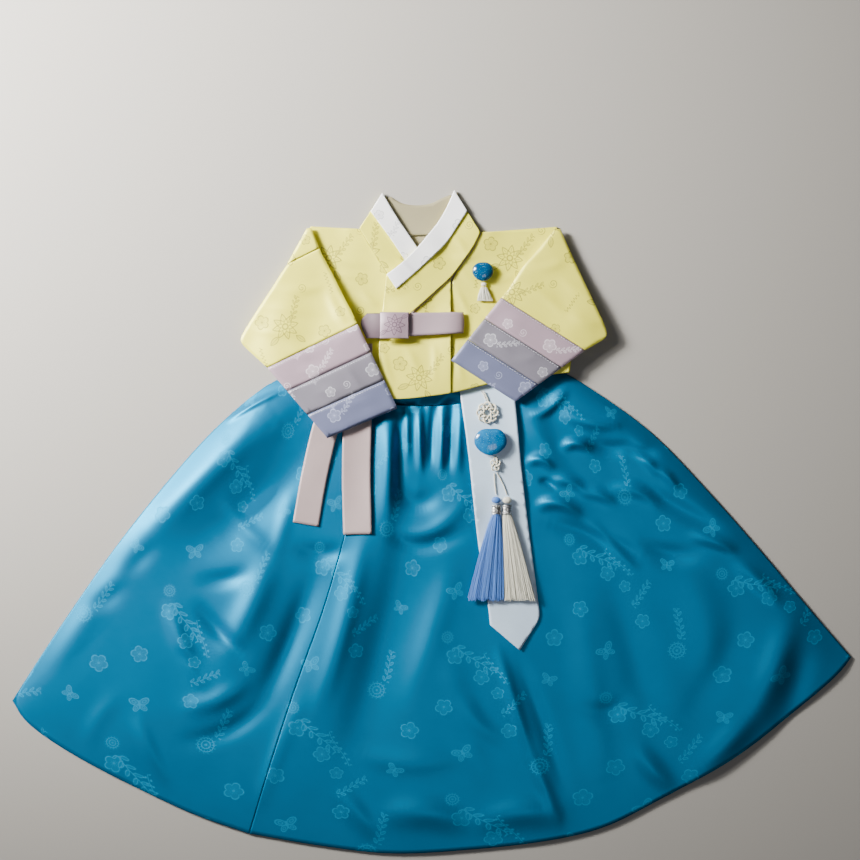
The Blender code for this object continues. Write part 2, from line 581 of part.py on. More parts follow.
# ================================================================ jacket
def build_jacket_body(pile):
    """Back, fronts and collars, from the floor up."""
    neck = smooth_through([NECK_RIGHT, Point(-50, NECK_DIP), Point(25, NECK_DIP), NECK_LEFT])
    shoulder_line = [JACKET_SIDE_RIGHT[0], Point(*neck[0])]
    top_path = np.vstack([np.array([shoulder_line[0]]), neck, np.array([JACKET_SIDE_LEFT[0]])])
    back = four_sided(edge(top_path, smooth=False), edge(HEM_JACKET),
                      edge(JACKET_SIDE_RIGHT), edge(JACKET_SIDE_LEFT))
    draped("jacket_back", back, 14, 9, JACKET_WALL, LINING, pile, reach=22)

    collar_foot = edge([Point(p[0], p[1] + GAP) for p in neck], smooth=False)
    collar_back = between(edge([Point(-78, 339), *BACK_COLLAR_TOP, Point(51, 336)]),
                          lambda t: collar_foot(0.035 + 0.93 * t))
    draped("collar_back", collar_back, 3, 14, COLLAR_WALL, LINING, pile, reach=2)

    inner = between(edge(JACKET_SIDE_RIGHT), edge(INNER_FRONT_EDGE, smooth=False))
    draped("front_inner", inner, 9, 10, JACKET_WALL, PALE_YELLOW, pile, reach=20)
    draped("collar_inner", between(edge(COLLAR_INNER_LOWER), edge(COLLAR_INNER_UPPER)),
           4, 9, COLLAR_WALL, PALE_YELLOW, pile, reach=11)
    draped("collar_strip_inner", between(edge(STRIP_INNER_LOWER), edge(COLLAR_INNER_UPPER)),
           2, 9, STRIP_WALL, WHITE, pile, reach=11)

    collar_line = smooth_through(COLLAR_OUTER_LOWER)
    seam_x = PANEL_SEAM_X
    seam_top = Point(seam_x, PANEL_SEAM_TOP)
    hem_path = smooth_through(HEM_JACKET)
    seam_foot = Point(seam_x, np.interp(seam_x, hem_path[:, 0], hem_path[:, 1]))
    overlap_foot = Point(OVERLAP_EDGE_X, np.interp(OVERLAP_EDGE_X, hem_path[:, 0], hem_path[:, 1]))
    hem_left = [p for p in hem_path if p[0] > seam_x + 1]
    hem_overlap = [p for p in hem_path if OVERLAP_EDGE_X + 1 < p[0] < seam_x - 1]

    upper = [p for p in collar_line if p[0] > seam_x + 1]
    side_edge = np.vstack([upper, [seam_top], [seam_foot]])
    outer = between(edge(side_edge + [GAP / 2, 0], smooth=False), edge(JACKET_SIDE_LEFT))
    lower_edge = np.vstack([[seam_foot], *[[p] for p in hem_left]])

    def outer_place(u, v):
        """The front's side part; its last rows are drawn to the curve of the hem."""
        point = outer(u, v)
        foot = edge(lower_edge, smooth=False)(u)
        straight = outer(u, 1.0)
        return point + (foot - straight) * v ** 3

    draped("front_outer", outer_place, 8, 11, JACKET_WALL, PALE_YELLOW, pile, reach=20)

    across_top = np.array([p for p in collar_line if p[0] < seam_x - 1][::-1])
    across_top = np.vstack([[[OVERLAP_EDGE_X, OVERLAP_TOP]], across_top[1:],
                            [seam_top]]) - [GAP / 2, 0]
    overlap = between(edge(across_top, smooth=False),
                      edge(np.vstack([[overlap_foot], hem_overlap, [seam_foot]]) - [GAP / 2, 0],
                           smooth=False))
    draped("front_overlap", lambda u, v: overlap(1 - v, u), 8, 9, JACKET_WALL, PALE_YELLOW,
           pile, reach=14)
    draped("collar_outer", between(edge(COLLAR_OUTER_LOWER), edge(COLLAR_OUTER_UPPER)),
           4, 14, COLLAR_WALL, PALE_YELLOW, pile, reach=11)
    draped("collar_strip_outer", between(edge(STRIP_OUTER_LOWER), edge(COLLAR_OUTER_UPPER)),
           2, 14, STRIP_WALL, WHITE, pile, reach=9)


def build_arm(side, sleeve, cuff, root, pile, shoulder=None):
    """One sleeve turned over the front: hidden root, shoulder end, sleeve and cuff bands."""
    root_left = edge(root[:3], smooth=False)
    root_right = edge([root[0], root[5], root[4], root[3]], smooth=False)
    draped("sleeve_root_" + side, between(root_left, lambda t: root_right(0.02 + 0.98 * t)),
           3, 8, ROOT_WALL, PALE_YELLOW, pile, reach=10)
    cover = pile.cover(17)
    pieces = []
    if shoulder:
        pieces.append(flat_tube("shoulder_turn_" + side, shoulder, cover, SLEEVE_WALL,
                                PALE_YELLOW, closed=True))
    pieces.append(flat_tube("sleeve_" + side, sleeve, cover, SLEEVE_WALL, PALE_YELLOW,
                            closed=not shoulder))
    seam = sleeve[-1]
    length = np.linalg.norm(np.array(cuff.outer) - np.array(seam.outer))
    gap = GAP / length
    count = len(CUFF_BANDS)
    for number, (band, colour) in enumerate(zip(CUFF_BANDS, (ROSE, LILAC, PERIWINKLE))):
        shares = (number / count + gap, (number + 1) / count)
        sections = [section_between(seam, cuff, share) for share in shares]
        pieces.append(flat_tube(f"cuff_{band}_{side}", sections, cover, SLEEVE_WALL, colour))
    for obj in pieces:
        pile.add(obj)


def strip_edges(centre, width):
    """The two edges of a ribbon of even width along a centre line."""
    path = smooth_through(centre)
    along = np.gradient(path, axis=0)
    along /= np.linalg.norm(along, axis=1)[:, None]
    across = np.column_stack([along[:, 1], -along[:, 0]]) * width / 2
    return edge(path + across, smooth=False), edge(path - across, smooth=False)


def build_ribbon_tails(pile):
    """The two hanging ends of the ribbon tie, which pass under the right cuff."""
    for name, centre, width in (("ribbon_tail_left", TAIL_LEFT, TAIL_LEFT_WIDTH),
                                ("ribbon_tail_right", TAIL_RIGHT, TAIL_RIGHT_WIDTH)):
        first, second = strip_edges(centre, width)
        draped(name, between(first, second), 3, 16, RIBBON_WALL, RIBBON_ROSE, pile, reach=11)


def build_bow(pile):
    """The tie's half bow: turned fold, loop and knot."""
    draped("ribbon_fold", between(edge(FOLD_LEFT), edge(FOLD_RIGHT)), 3, 5, RIBBON_WALL,
           RIBBON_ROSE, pile, reach=9)
    loop = flat_tube("ribbon_loop", LOOP_SECTIONS, pile.cover(9), RIBBON_WALL, RIBBON_ROSE)
    pile.add(loop)
    left, right = ([Point(x, KNOT_TOP), Point(x, KNOT_BOTTOM)] for x in (KNOT_LEFT, KNOT_RIGHT))

    def swell(u, v):
        """Rise of the knot's padded middle."""
        return KNOT_SWELL * math.sin(math.pi * u) * math.sin(math.pi * v)

    draped("ribbon_knot", between(edge(left, smooth=False), edge(right, smooth=False)), 7, 6,
           KNOT_WALL, ROSE, pile, reach=7, form=swell)


# ================================================================ ornaments
def pebble(name, centre, half, pile, colour, notch=0.0, taper=0.0, around=12, rings=6, **look):
    """Flattened bead resting on the pile, with a notched top and a narrowed foot where asked."""
    middle = pile.cover(0.7 * max(half[0], half[1]), spans=False)(*centre) + half[2]
    bm = bmesh.new()
    bmesh.ops.create_uvsphere(bm, u_segments=around, v_segments=rings, radius=1.0)
    for vert in bm.verts:
        x, y, z = vert.co
        width = 1 - taper * max(0.0, -y) ** 2
        dip = notch * math.exp(-(x / 0.38) ** 2) * max(0.0, y)
        vert.co = (centre.x + half[0] * x * width, centre.y + half[1] * (y - dip),
                   middle + half[2] * z)
    return finish(name, bm, colour, **look)


def barrel(name, centre, half, pile, colour, **look):
    """Flattened cylinder lying along Y on the pile, a little fuller in its middle."""
    middle = pile.cover(0.7 * max(half[0], half[1]), spans=False)(*centre) + half[2]
    bm = bmesh.new()
    bmesh.ops.create_grid(bm, x_segments=14, y_segments=3, size=1.0)
    for vert in bm.verts:
        angle = math.pi * vert.co.x
        full = 1.0 if abs(vert.co.y) < 0.9 else 0.86
        vert.co = (centre.x + half[0] * full * math.cos(angle), centre.y + half[1] * vert.co.y,
                   middle + half[2] * full * math.sin(angle))
    bmesh.ops.remove_doubles(bm, verts=bm.verts, dist=0.01)
    bmesh.ops.holes_fill(bm, edges=bm.edges)
    return finish(name, bm, colour, **look)


def rosette(name, centre, radius, lobes, thick, pile, colour):
    """Flat knot of cord: a scalloped disc, a little narrower at its top."""
    level = pile.cover(radius, spans=False)(*centre)
    bm = bmesh.new()
    bmesh.ops.create_cone(bm, cap_ends=True, segments=lobes * 6, radius1=1, radius2=1, depth=1)
    for vert in bm.verts:
        angle = math.atan2(vert.co.y, vert.co.x)
        reach = radius * (1 - LOBE_DEPTH + LOBE_DEPTH * abs(math.cos(lobes / 2 * angle)))
        upper = vert.co.z > 0
        shrink = ROSETTE_TOP_SHARE if upper else 1.0
        vert.co = (centre.x + reach * shrink * math.cos(angle),
                   centre.y + reach * shrink * math.sin(angle), level + (thick if upper else 0))
    return finish(name, bm, colour)


def cord(name, points, pile, colour, radius=CORD_RADIUS):
    """Short run of cord through points in the plane, lying on the pile."""
    cover = pile.cover(5, spans=False)
    path = smooth_through(points, 3)
    curve = bpy.data.curves.new(name, "CURVE")
    curve.dimensions = "3D"
    curve.bevel_depth = radius * METRE
    curve.bevel_resolution = 1
    curve.use_fill_caps = True
    spline = curve.splines.new("POLY")
    spline.points.add(len(path) - 1)
    for point, (x, y) in zip(spline.points, path):
        point.co = (x * METRE, y * METRE, (cover(x, y) + radius) * METRE, 1)
    obj = bpy.data.objects.new(name, curve)
    curve.materials.append(material(name + "_finish", colour))
    HANBOK.objects.link(obj)
    return obj


def tassel(name, size, pile, colour):
    """Tassel lying on its side: a head with three-sided strands grown out of its lower face.

    The head's lower face is a grid of triangles.  Each is set in a little, so that the strands
    stay apart, and then drawn out over the cloth, so that all strands are one body with the head.
    """
    across, up = size.cells
    cover = pile.cover(6)
    half_x, half_z = size.head_half
    centre_z = max(cover(size.x + dx, size.top + dy) for dx in (-half_x, 0, half_x)
                   for dy in (0, size.head_long)) + half_z
    bm = bmesh.new()
    bmesh.ops.create_grid(bm, x_segments=across, y_segments=up, size=1.0)
    bmesh.ops.triangulate(bm, faces=bm.faces)
    grown = bmesh.ops.extrude_face_region(bm, geom=bm.faces[:])["geom"]
    far = {item for item in grown if isinstance(item, bmesh.types.BMVert)}
    lower = [face for face in bm.faces if not any(v in far for v in face.verts)]
    bmesh.ops.inset_individual(bm, faces=lower, thickness=STRAND_INSET)
    share = {vert: (vert.co.x, vert.co.y) for vert in bm.verts}

    def rounded_square(a, b):
        """Draw the grid's corners in, so that the head is round in section."""
        return a * math.sqrt(1 - b * b / 2.6), b * math.sqrt(1 - a * a / 2.6)

    def set_station(verts, along, jitter=0.0):
        """Place strand points at a share of the way from the head to the end."""
        middle_x = size.x + (size.x_end - size.x) * along
        half_width = half_x + (size.width_end / 2 - half_x) * along ** 0.85
        for vert in verts:
            a, b = rounded_square(*share[vert])
            x = middle_x + a * half_width
            y = size.top + (size.end - size.top) * along + jitter
            lying = cover(x, y) + (b + 1) / 2 * size.rise + 0.1
            level = centre_z + b * half_z
            mix = min(1.0, along * 2.6)
            vert.co = (x, y, level + (max(lying, level - 40) - level) * mix)

    for vert in bm.verts:
        a, b = rounded_square(*share[vert])
        y = size.top + (size.head_long if vert in far else 0.0)
        narrow = 0.72 if vert in far else 1.0
        vert.co = (size.x + a * half_x * narrow, y, centre_z + b * half_z * narrow)
    faces = lower
    for along, draw_in in zip(STRAND_STATIONS, STRAND_TAPER):
        before = [[share[v] for v in face.verts] for face in faces]
        made = bmesh.ops.extrude_discrete_faces(bm, faces=faces)["faces"]
        for number, (face, shares) in enumerate(zip(made, before)):
            middle = np.mean(shares, axis=0)
            for vert, place in zip(face.verts, shares):
                share[vert] = tuple(middle + (np.array(place) - middle) * draw_in)
            uneven = STRAND_UNEVEN * math.sin(number * 2.4) if along == 1.0 else 0.0
            set_station(face.verts, along, uneven)
        faces = made
    return finish(name, bm, colour, smooth=False)


def build_pendant(pile):
    """Norigae hanging from under the jacket's hem, lying on the sash."""
    for side, shift in (("right", -CORD_SPREAD), ("left", CORD_SPREAD)):
        cord("pendant_cord_" + side,
             [Point(CORD_TOP.x + shift, CORD_TOP.y), Point(CORD_BEND.x + shift, CORD_BEND.y),
              Point(ROSETTE.x + shift, ROSETTE.y + ROSETTE_RADIUS + 0.6)], pile, IVORY)
    rosette("pendant_rosette", ROSETTE, ROSETTE_RADIUS, ROSETTE_LOBES, ROSETTE_THICKNESS, pile,
            IVORY)
    pebble("pendant_bead", BEAD, BEAD_HALF, pile, GLASS_BLUE, notch=0.16, taper=0.22,
           around=20, rings=9, roughness=0.15)
    pebble("pendant_lower_knot", LOWER_KNOT, LOWER_KNOT_HALF, pile, IVORY)
    for side, head, start in (("blue", HEAD_BLUE, -1.2), ("ivory", HEAD_IVORY, 1.6)):
        cord("pendant_string_" + side,
             [Point(LOWER_KNOT.x + start, LOWER_KNOT.y - LOWER_KNOT_HALF[1] - 1.0),
              Point((LOWER_KNOT.x + head.x) / 2 + start, STRING_BEND_Y),
              Point(head.x, head.y + KNOB_HALF[1] + 1.2)], pile, IVORY)
    for side, head, size, colour in (("blue", HEAD_BLUE, TASSEL_BLUE_SIZE, TASSEL_BLUE),
                                     ("ivory", HEAD_IVORY, TASSEL_IVORY_SIZE, IVORY)):
        pebble("pendant_knob_" + side, head, KNOB_HALF, pile, colour)
        barrel("pendant_sleeve_" + side, Point(head.x, TASSEL_SLEEVE_Y), TASSEL_SLEEVE_HALF,
               pile, SILVER, metallic=1.0, roughness=0.3)
        tassel("tassel_" + side, size, pile, colour)


def build_brooch(pile):
    """Small bead with a short tassel, pinned to the outer front."""
    pebble("brooch_bead", BROOCH, BROOCH_HALF, pile, GLASS_BLUE, notch=0.10, taper=0.18,
           around=16, rings=8, roughness=0.15)
    pebble("brooch_knob", BROOCH_KNOB, BROOCH_KNOB_HALF, pile, IVORY)
    tassel("brooch_tassel", BROOCH_TASSEL_SIZE, pile, IVORY)


# ================================================================ the whole garment
def clear_scene():
    """Remove every object of the scene."""
    for obj in list(bpy.data.objects):
        bpy.data.objects.remove(obj, do_unlink=True)


def centre_on_origin():
    """Move the garment so that its box is centred on the origin, with its underside at z = 0."""
    bpy.context.view_layer.update()
    graph = bpy.context.evaluated_depsgraph_get()
    low, high = np.full(3, np.inf), np.full(3, -np.inf)
    for obj in HANBOK.objects:
        shape = obj.evaluated_get(graph).to_mesh()
        for vert in shape.vertices:
            place = np.array(obj.matrix_world @ vert.co)
            low, high = np.minimum(low, place), np.maximum(high, place)
    shift = Vector((-(low[0] + high[0]) / 2, -(low[1] + high[1]) / 2, -low[2]))
    for obj in HANBOK.objects:
        obj.location += shift
    bpy.context.view_layer.update()


def main():
    """Lay the garment from the floor up."""
    pile = Pile()
    build_skirt(pile)
    build_sash(pile)
    build_jacket_body(pile)
    build_ribbon_tails(pile)
    build_bow(pile)
    build_brooch(pile)
    build_arm("right", SLEEVE_RIGHT, CUFF_RIGHT, ROOT_RIGHT, pile, SHOULDER_RIGHT)
    build_arm("left", SLEEVE_LEFT, CUFF_LEFT, ROOT_LEFT, pile)
    build_pendant(pile)
    centre_on_origin()


clear_scene()
HANBOK = bpy.data.collections.new("hanbok")
bpy.context.scene.collection.children.link(HANBOK)
main()
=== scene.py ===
"""Looks of a girl's first-birthday hanbok, laid out flat on a plain floor.

The jacket (jeogori) is pale yellow satin damask with cuffs in three colours, and the skirt (chima)
is turquoise satin damask.  Each cloth piece is a fine shell on the form of its solid, creased along
listed curves.  Tassels are modelled thread by thread, and each flat knot from one cord.

Lengths are in metres unless a name ends in ``_mm``.
"""

from __future__ import annotations

import json
import logging
import math
from dataclasses import dataclass, field
from enum import Enum
from typing import Callable, ClassVar, Iterable, Sequence

import bmesh
import bpy
import numpy as np
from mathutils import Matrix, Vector
from mathutils.bvhtree import BVHTree

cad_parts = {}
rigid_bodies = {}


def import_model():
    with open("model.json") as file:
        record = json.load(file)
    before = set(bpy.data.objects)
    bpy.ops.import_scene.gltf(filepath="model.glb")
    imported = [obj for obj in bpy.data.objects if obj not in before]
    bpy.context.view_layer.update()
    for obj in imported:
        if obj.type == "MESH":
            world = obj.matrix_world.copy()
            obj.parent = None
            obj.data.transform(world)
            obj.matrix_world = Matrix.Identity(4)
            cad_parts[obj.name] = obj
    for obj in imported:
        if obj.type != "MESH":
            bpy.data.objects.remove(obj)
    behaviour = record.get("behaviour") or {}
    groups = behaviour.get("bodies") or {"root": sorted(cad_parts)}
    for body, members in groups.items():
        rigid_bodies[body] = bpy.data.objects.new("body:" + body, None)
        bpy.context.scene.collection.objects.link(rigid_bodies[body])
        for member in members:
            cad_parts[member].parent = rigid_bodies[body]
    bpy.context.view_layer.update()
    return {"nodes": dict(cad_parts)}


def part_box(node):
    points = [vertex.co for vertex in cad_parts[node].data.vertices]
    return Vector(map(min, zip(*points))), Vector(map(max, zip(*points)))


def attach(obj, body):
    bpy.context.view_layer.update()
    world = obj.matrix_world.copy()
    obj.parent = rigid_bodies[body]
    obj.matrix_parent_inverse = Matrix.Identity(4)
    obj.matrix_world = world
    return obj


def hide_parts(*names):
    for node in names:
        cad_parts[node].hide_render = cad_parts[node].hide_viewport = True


LOG = logging.getLogger("hanbok")
MM = 0.001
BODY = "root"
MERGE_DISTANCE = 0.01 * MM      # corners closer than this are one corner
QUAD_ANGLE = math.radians(70)   # triangles that differ by less may pair into a four-sided face
RAY_START = 0.2                 # height from which a surface is felt
HeightField = Callable[[np.ndarray, np.ndarray], np.ndarray]


# ------------------------------------------------------------------ colour and nodes
def linear(hex_colour: str) -> tuple[float, float, float, float]:
    """Turn an sRGB hex colour into linear RGBA.

    Args:
        hex_colour: Six hex digits after a hash.

    Returns:
        Red, green, blue and an alpha of one.
    """
    channels = [int(hex_colour[i:i + 2], 16) / 255 for i in (1, 3, 5)]
    toned = [c / 12.92 if c <= 0.04045 else ((c + 0.055) / 1.055) ** 2.4 for c in channels]
    return (*toned, 1.0)


def add(tree: bpy.types.NodeTree, kind: str, settings: dict | None = None,
        inputs: dict | None = None) -> bpy.types.Node:
    """Add a node with its settings, and set or link its inputs.

    Args:
        tree: Node tree to add to.
        kind: Blender's name for the node type.
        settings: Attributes of the node.
        inputs: Value or output socket for each input, by name or index.

    Returns:
        The new node.
    """
    node = tree.nodes.new(kind)
    for name, value in (settings or {}).items():
        setattr(node, name, value)
    connect(tree, node, inputs or {})
    return node


def connect(tree: bpy.types.NodeTree, node: bpy.types.Node, inputs: dict) -> None:
    """Set or link inputs of a node.

    Args:
        tree: Node tree that holds it.
        node: The node.
        inputs: Value or output socket for each input, by name or index.
    """
    for key, value in inputs.items():
        socket = node.inputs[key]
        if isinstance(value, Formula):
            value = value.socket
        if isinstance(value, bpy.types.NodeSocket):
            tree.links.new(value, socket)
        else:
            socket.default_value = value


class Formula:
    """Arithmetic on a shader value: each operator adds one Math node."""

    def __init__(self, tree: bpy.types.NodeTree, socket: bpy.types.NodeSocket) -> None:
        """Wrap an output socket of a tree."""
        self.tree = tree
        self.socket = socket

    def apply(self, operation: str, *others: "Formula | float") -> "Formula":
        """Result of a Math node on this value and others.

        Args:
            operation: Blender's name of the operation.
            others: Further operands.

        Returns:
            The result as a new formula.
        """
        operands = dict(enumerate((self, *others)))
        node = add(self.tree, "ShaderNodeMath", {"operation": operation}, operands)
        return Formula(self.tree, node.outputs[0])

    def __add__(self, other: "Formula | float") -> "Formula":
        """Sum."""
        return self.apply("ADD", other)

    def __sub__(self, other: "Formula | float") -> "Formula":
        """Difference."""
        return self.apply("SUBTRACT", other)

    def __mul__(self, other: "Formula | float") -> "Formula":
        """Product."""
        return self.apply("MULTIPLY", other)

    def __or__(self, other: "Formula | float") -> "Formula":
        """Union of two masks: the greater value."""
        return self.apply("MAXIMUM", other)

    def __abs__(self) -> "Formula":
        """Absolute value."""
        return self.apply("ABSOLUTE")

    def within(self, limit: float, soft: float) -> "Formula":
        """One below a limit and zero above it, with a soft step.

        Args:
            limit: Where the step is.
            soft: Width of the step.

        Returns:
            The mask.
        """
        node = add(self.tree, "ShaderNodeMapRange",
                   {"interpolation_type": "SMOOTHSTEP"},
                   {"Value": self, "From Min": limit - soft / 2, "From Max": limit + soft / 2,
                    "To Min": 1.0, "To Max": 0.0})
        return Formula(self.tree, node.outputs["Result"])


def radius_of(x: Formula, y: Formula) -> Formula:
    """Distance of a place from the middle."""
    return (x * x + y * y).apply("SQRT")


def polar(x: Formula, y: Formula) -> tuple[Formula, Formula]:
    """Distance from the middle, and the angle in radians."""
    return radius_of(x, y), y.apply("ARCTAN2", x)


# ------------------------------------------------------------------ woven motifs
class Motif(Enum):
    """Traditional figures of the damask."""

    BLOSSOM = "plum blossom"
    CHRYSANTHEMUM = "chrysanthemum"
    BUTTERFLY = "butterfly"
    SPRIG = "leafy sprig"
    BERRIES = "twig of buds"
    LOTUS = "open lotus"
    TENDRIL = "tendril"
    LEAF = "leaf"


@dataclass(frozen=True)
class Placed:
    """One motif in the repeat: its centre and size in millimetres, its turn in degrees."""

    motif: Motif
    x: float
    y: float
    turn: float
    size: float


def draw_blossom(x: Formula, y: Formula) -> Formula:
    """Five-petalled flower: a rim, a faint fill, stamens and a small heart.

    Args:
        x: Place across, in units of the motif's radius.
        y: Place up.

    Returns:
        Mask of the figure.
    """
    radius, angle = polar(x, y)
    petals = abs((angle * 2.5).apply("COSINE")).apply("POWER", 0.6)
    rim = radius - (petals * 0.36 + 0.58)
    line = abs(rim).within(0.075, 0.06)
    fill = rim.within(0.0, 0.05) * 0.30
    heart = radius.within(0.15, 0.06)
    rays = abs((angle * 5.0).apply("COSINE")).apply("POWER", 6.0) * radius.within(0.42, 0.06)
    return line | fill | heart | rays * 0.8


def draw_chrysanthemum(x: Formula, y: Formula) -> Formula:
    """Round flower with three rings of petals.

    Args:
        x: Place across, in units of the motif's radius.
        y: Place up.

    Returns:
        Mask of the figure.
    """
    radius, angle = polar(x, y)
    lobes = abs((angle * 7.0).apply("COSINE")) * 0.30
    ring = (radius * 3.1 - lobes).apply("FRACT") - 0.5
    line = abs(abs(ring) - 0.5).within(0.16, 0.10)
    spokes = abs((angle * 7.0).apply("SINE")).apply("POWER", 8.0) * 0.7
    return (line | spokes) * radius.within(0.95, 0.05)


def draw_butterfly(x: Formula, y: Formula) -> Formula:
    """Two pairs of outlined wings beside a slim body.

    Args:
        x: Place across, in units of the motif's half span.
        y: Place up.

    Returns:
        Mask of the figure.
    """
    side = abs(x)

    def wing(cx: float, cy: float, long: float, wide: float, turn: float) -> Formula:
        """Outline and spot of one oval wing."""
        c, s = math.cos(turn), math.sin(turn)
        dx, dy = side - cx, y - cy
        along = (dx * c + dy * s) * (1 / long)
        across = (dy * c - dx * s) * (1 / wide)
        oval = radius_of(along, across)
        line = abs(oval - 0.9).within(0.13, 0.08)
        spot = abs(oval - 0.38).within(0.10, 0.08)
        return line | spot | oval.within(0.9, 0.1) * 0.3

    upper = wing(0.48, 0.30, 0.52, 0.33, 0.55)
    lower = wing(0.34, -0.34, 0.40, 0.27, -0.85)
    body = side.within(0.06, 0.03) * abs(y).within(0.42, 0.06)
    return upper | lower | body


def along_twig(x: Formula, y: Formula, steps: float) -> tuple[Formula, Formula, Formula]:
    """Places beside a gently bent twig whose leaves alternate from side to side.

    Args:
        x: Place along the twig, in units of its half length.
        y: Place across it.
        steps: Leaves on each side in a half length.

    Returns:
        Distance from the twig, place along one leaf's step from -0.5 to 0.5, and the twig's mask.
    """
    off = y - (x * 1.7).apply("SINE") * 0.20
    step = (x * steps + off.apply("GREATER_THAN", 0.0) * 0.5).apply("FRACT") - 0.5
    twig = abs(off).within(0.018, 0.016)
    return abs(off), step, twig


def draw_sprig(x: Formula, y: Formula) -> Formula:
    """Twig with slanted leaves that alternate from side to side.

    Args:
        x: Place along the twig, in units of its half length.
        y: Place across it.

    Returns:
        Mask of the figure.
    """
    off, step, twig = along_twig(x, y, 2.4)
    out = off * 3.6
    width = out * (out * -1 + 1)
    edge = abs(step - out * 0.5 + 0.22) - width * 0.85
    leaf = (abs(edge).within(0.07, 0.06) | edge.within(0.0, 0.05) * 0.35) * out.within(0.98, 0.06)
    return (leaf | twig) * abs(x).within(0.97, 0.05)


def draw_berries(x: Formula, y: Formula) -> Formula:
    """Twig with round buds that alternate from side to side.

    Args:
        x: Place along the twig, in units of its half length.
        y: Place across it.

    Returns:
        Mask of the figure.
    """
    off, step, twig = along_twig(x, y, 3.1)
    along = step * 0.32
    lift = off - 0.10
    bud = radius_of(along, lift).within(0.058, 0.03)
    return (bud | twig) * abs(x).within(0.97, 0.05)


def draw_lotus(x: Formula, y: Formula) -> Formula:
    """Open flower with two rings of pointed petals round a seed head.

    Args:
        x: Place across, in units of the motif's radius.
        y: Place up.

    Returns:
        Mask of the figure.
    """
    radius, angle = polar(x, y)
    petal = angle * (4 / math.pi)
    outer = abs(petal.apply("FRACT") - 0.5) * -0.9 + 0.95
    inner = abs((petal + 0.5).apply("FRACT") - 0.5) * -0.6 + 0.60
    line = abs(radius - outer).within(0.06, 0.05) | abs(radius - inner).within(0.05, 0.05)
    head = abs(radius - 0.2).within(0.05, 0.05)
    veins = abs(petal.apply("FRACT") - 0.5).within(0.04, 0.04) * radius.within(0.75, 0.05)
    veins = veins * (radius.within(0.25, 0.03) * -1 + 1)
    return line | head | veins * 0.8


def draw_tendril(x: Formula, y: Formula) -> Formula:
    """Curling spiral line.

    Args:
        x: Place across, in units of the motif's radius.
        y: Place up.

    Returns:
        Mask of the figure.
    """
    radius, angle = polar(x, y)
    line = abs((angle * (1 / (2 * math.pi)) + radius * 1.9).apply("FRACT") - 0.5).within(0.13, 0.10)
    return line * radius.within(0.95, 0.04)


def draw_leaf(x: Formula, y: Formula) -> Formula:
    """Pointed leaf with a middle vein.

    Args:
        x: Place along the leaf, in units of its half length.
        y: Place across it.

    Returns:
        Mask of the figure.
    """
    edge = abs(y) - (x * x * -0.42 + 0.42)
    line = abs(edge).within(0.07, 0.05)
    fill = edge.within(0.0, 0.05) * 0.3
    vein = abs(y).within(0.04, 0.03)
    return (line | fill | vein) * abs(x).within(1.0, 0.03)


DRAWINGS: dict[Motif, Callable[[Formula, Formula], Formula]] = {
    Motif.BLOSSOM: draw_blossom,
    Motif.CHRYSANTHEMUM: draw_chrysanthemum,
    Motif.BUTTERFLY: draw_butterfly,
    Motif.SPRIG: draw_sprig,
    Motif.BERRIES: draw_berries,
    Motif.LOTUS: draw_lotus,
    Motif.TENDRIL: draw_tendril,
    Motif.LEAF: draw_leaf,
}


@dataclass(frozen=True)
class Damask:
    """Half-drop repeat of motifs, its width and height in millimetres."""

    name: str
    width: float
    height: float
    motifs: tuple[Placed, ...]

    def group(self) -> bpy.types.NodeTree:
        """Node group that turns a place on the cloth, in millimetres, into the motifs' mask.

        Returns:
            The group, made once for each repeat.
        """
        found = bpy.data.node_groups.get(self.name)
        if found:
            return found
        tree = bpy.data.node_groups.new(self.name, "ShaderNodeTree")
        tree.interface.new_socket("Place", in_out="INPUT", socket_type="NodeSocketVector")
        tree.interface.new_socket("Mask", in_out="OUTPUT", socket_type="NodeSocketFloat")
        entry = add(tree, "NodeGroupInput")
        parts = add(tree, "ShaderNodeSeparateXYZ", inputs={0: entry.outputs["Place"]})
        across = Formula(tree, parts.outputs["X"])
        up = Formula(tree, parts.outputs["Y"])
        column = (across * (1 / self.width)).apply("FLOOR")
        x = across - column * self.width
        dropped = up + column * (self.height / 2)
        row = (dropped * (1 / self.height)).apply("FLOOR")
        y = dropped - row * self.height
        mask: Formula | None = None
        for placed in self.motifs:
            turn = math.radians(placed.turn)
            scale = 2 / placed.size
            dx, dy = (x - placed.x) * scale, (y - placed.y) * scale
            along = dx * math.cos(turn) + dy * math.sin(turn)
            beside = dy * math.cos(turn) - dx * math.sin(turn)
            drawn = DRAWINGS[placed.motif](along, beside)
            mask = drawn if mask is None else mask | drawn
        add(tree, "NodeGroupOutput", inputs={"Mask": mask})
        return tree


SKIRT_DAMASK = Damask("Skirt damask repeat", 164.0, 186.0, (
    Placed(Motif.BUTTERFLY, 38, 150, 24, 22),
    Placed(Motif.BUTTERFLY, 134, 38, -30, 18),
    Placed(Motif.CHRYSANTHEMUM, 112, 128, 0, 22),
    Placed(Motif.CHRYSANTHEMUM, 26, 98, 0, 16),
    Placed(Motif.BLOSSOM, 34, 76, 12, 20),
    Placed(Motif.BLOSSOM, 62, 50, 44, 18),
    Placed(Motif.BLOSSOM, 78, 30, 20, 14),
    Placed(Motif.BLOSSOM, 148, 84, 5, 20),
    Placed(Motif.BLOSSOM, 86, 172, 30, 17),
    Placed(Motif.BLOSSOM, 20, 18, 50, 19),
    Placed(Motif.SPRIG, 56, 70, -52, 52),
    Placed(Motif.SPRIG, 124, 156, 66, 36),
    Placed(Motif.SPRIG, 94, 16, 24, 34),
    Placed(Motif.BERRIES, 78, 58, -70, 44),
))
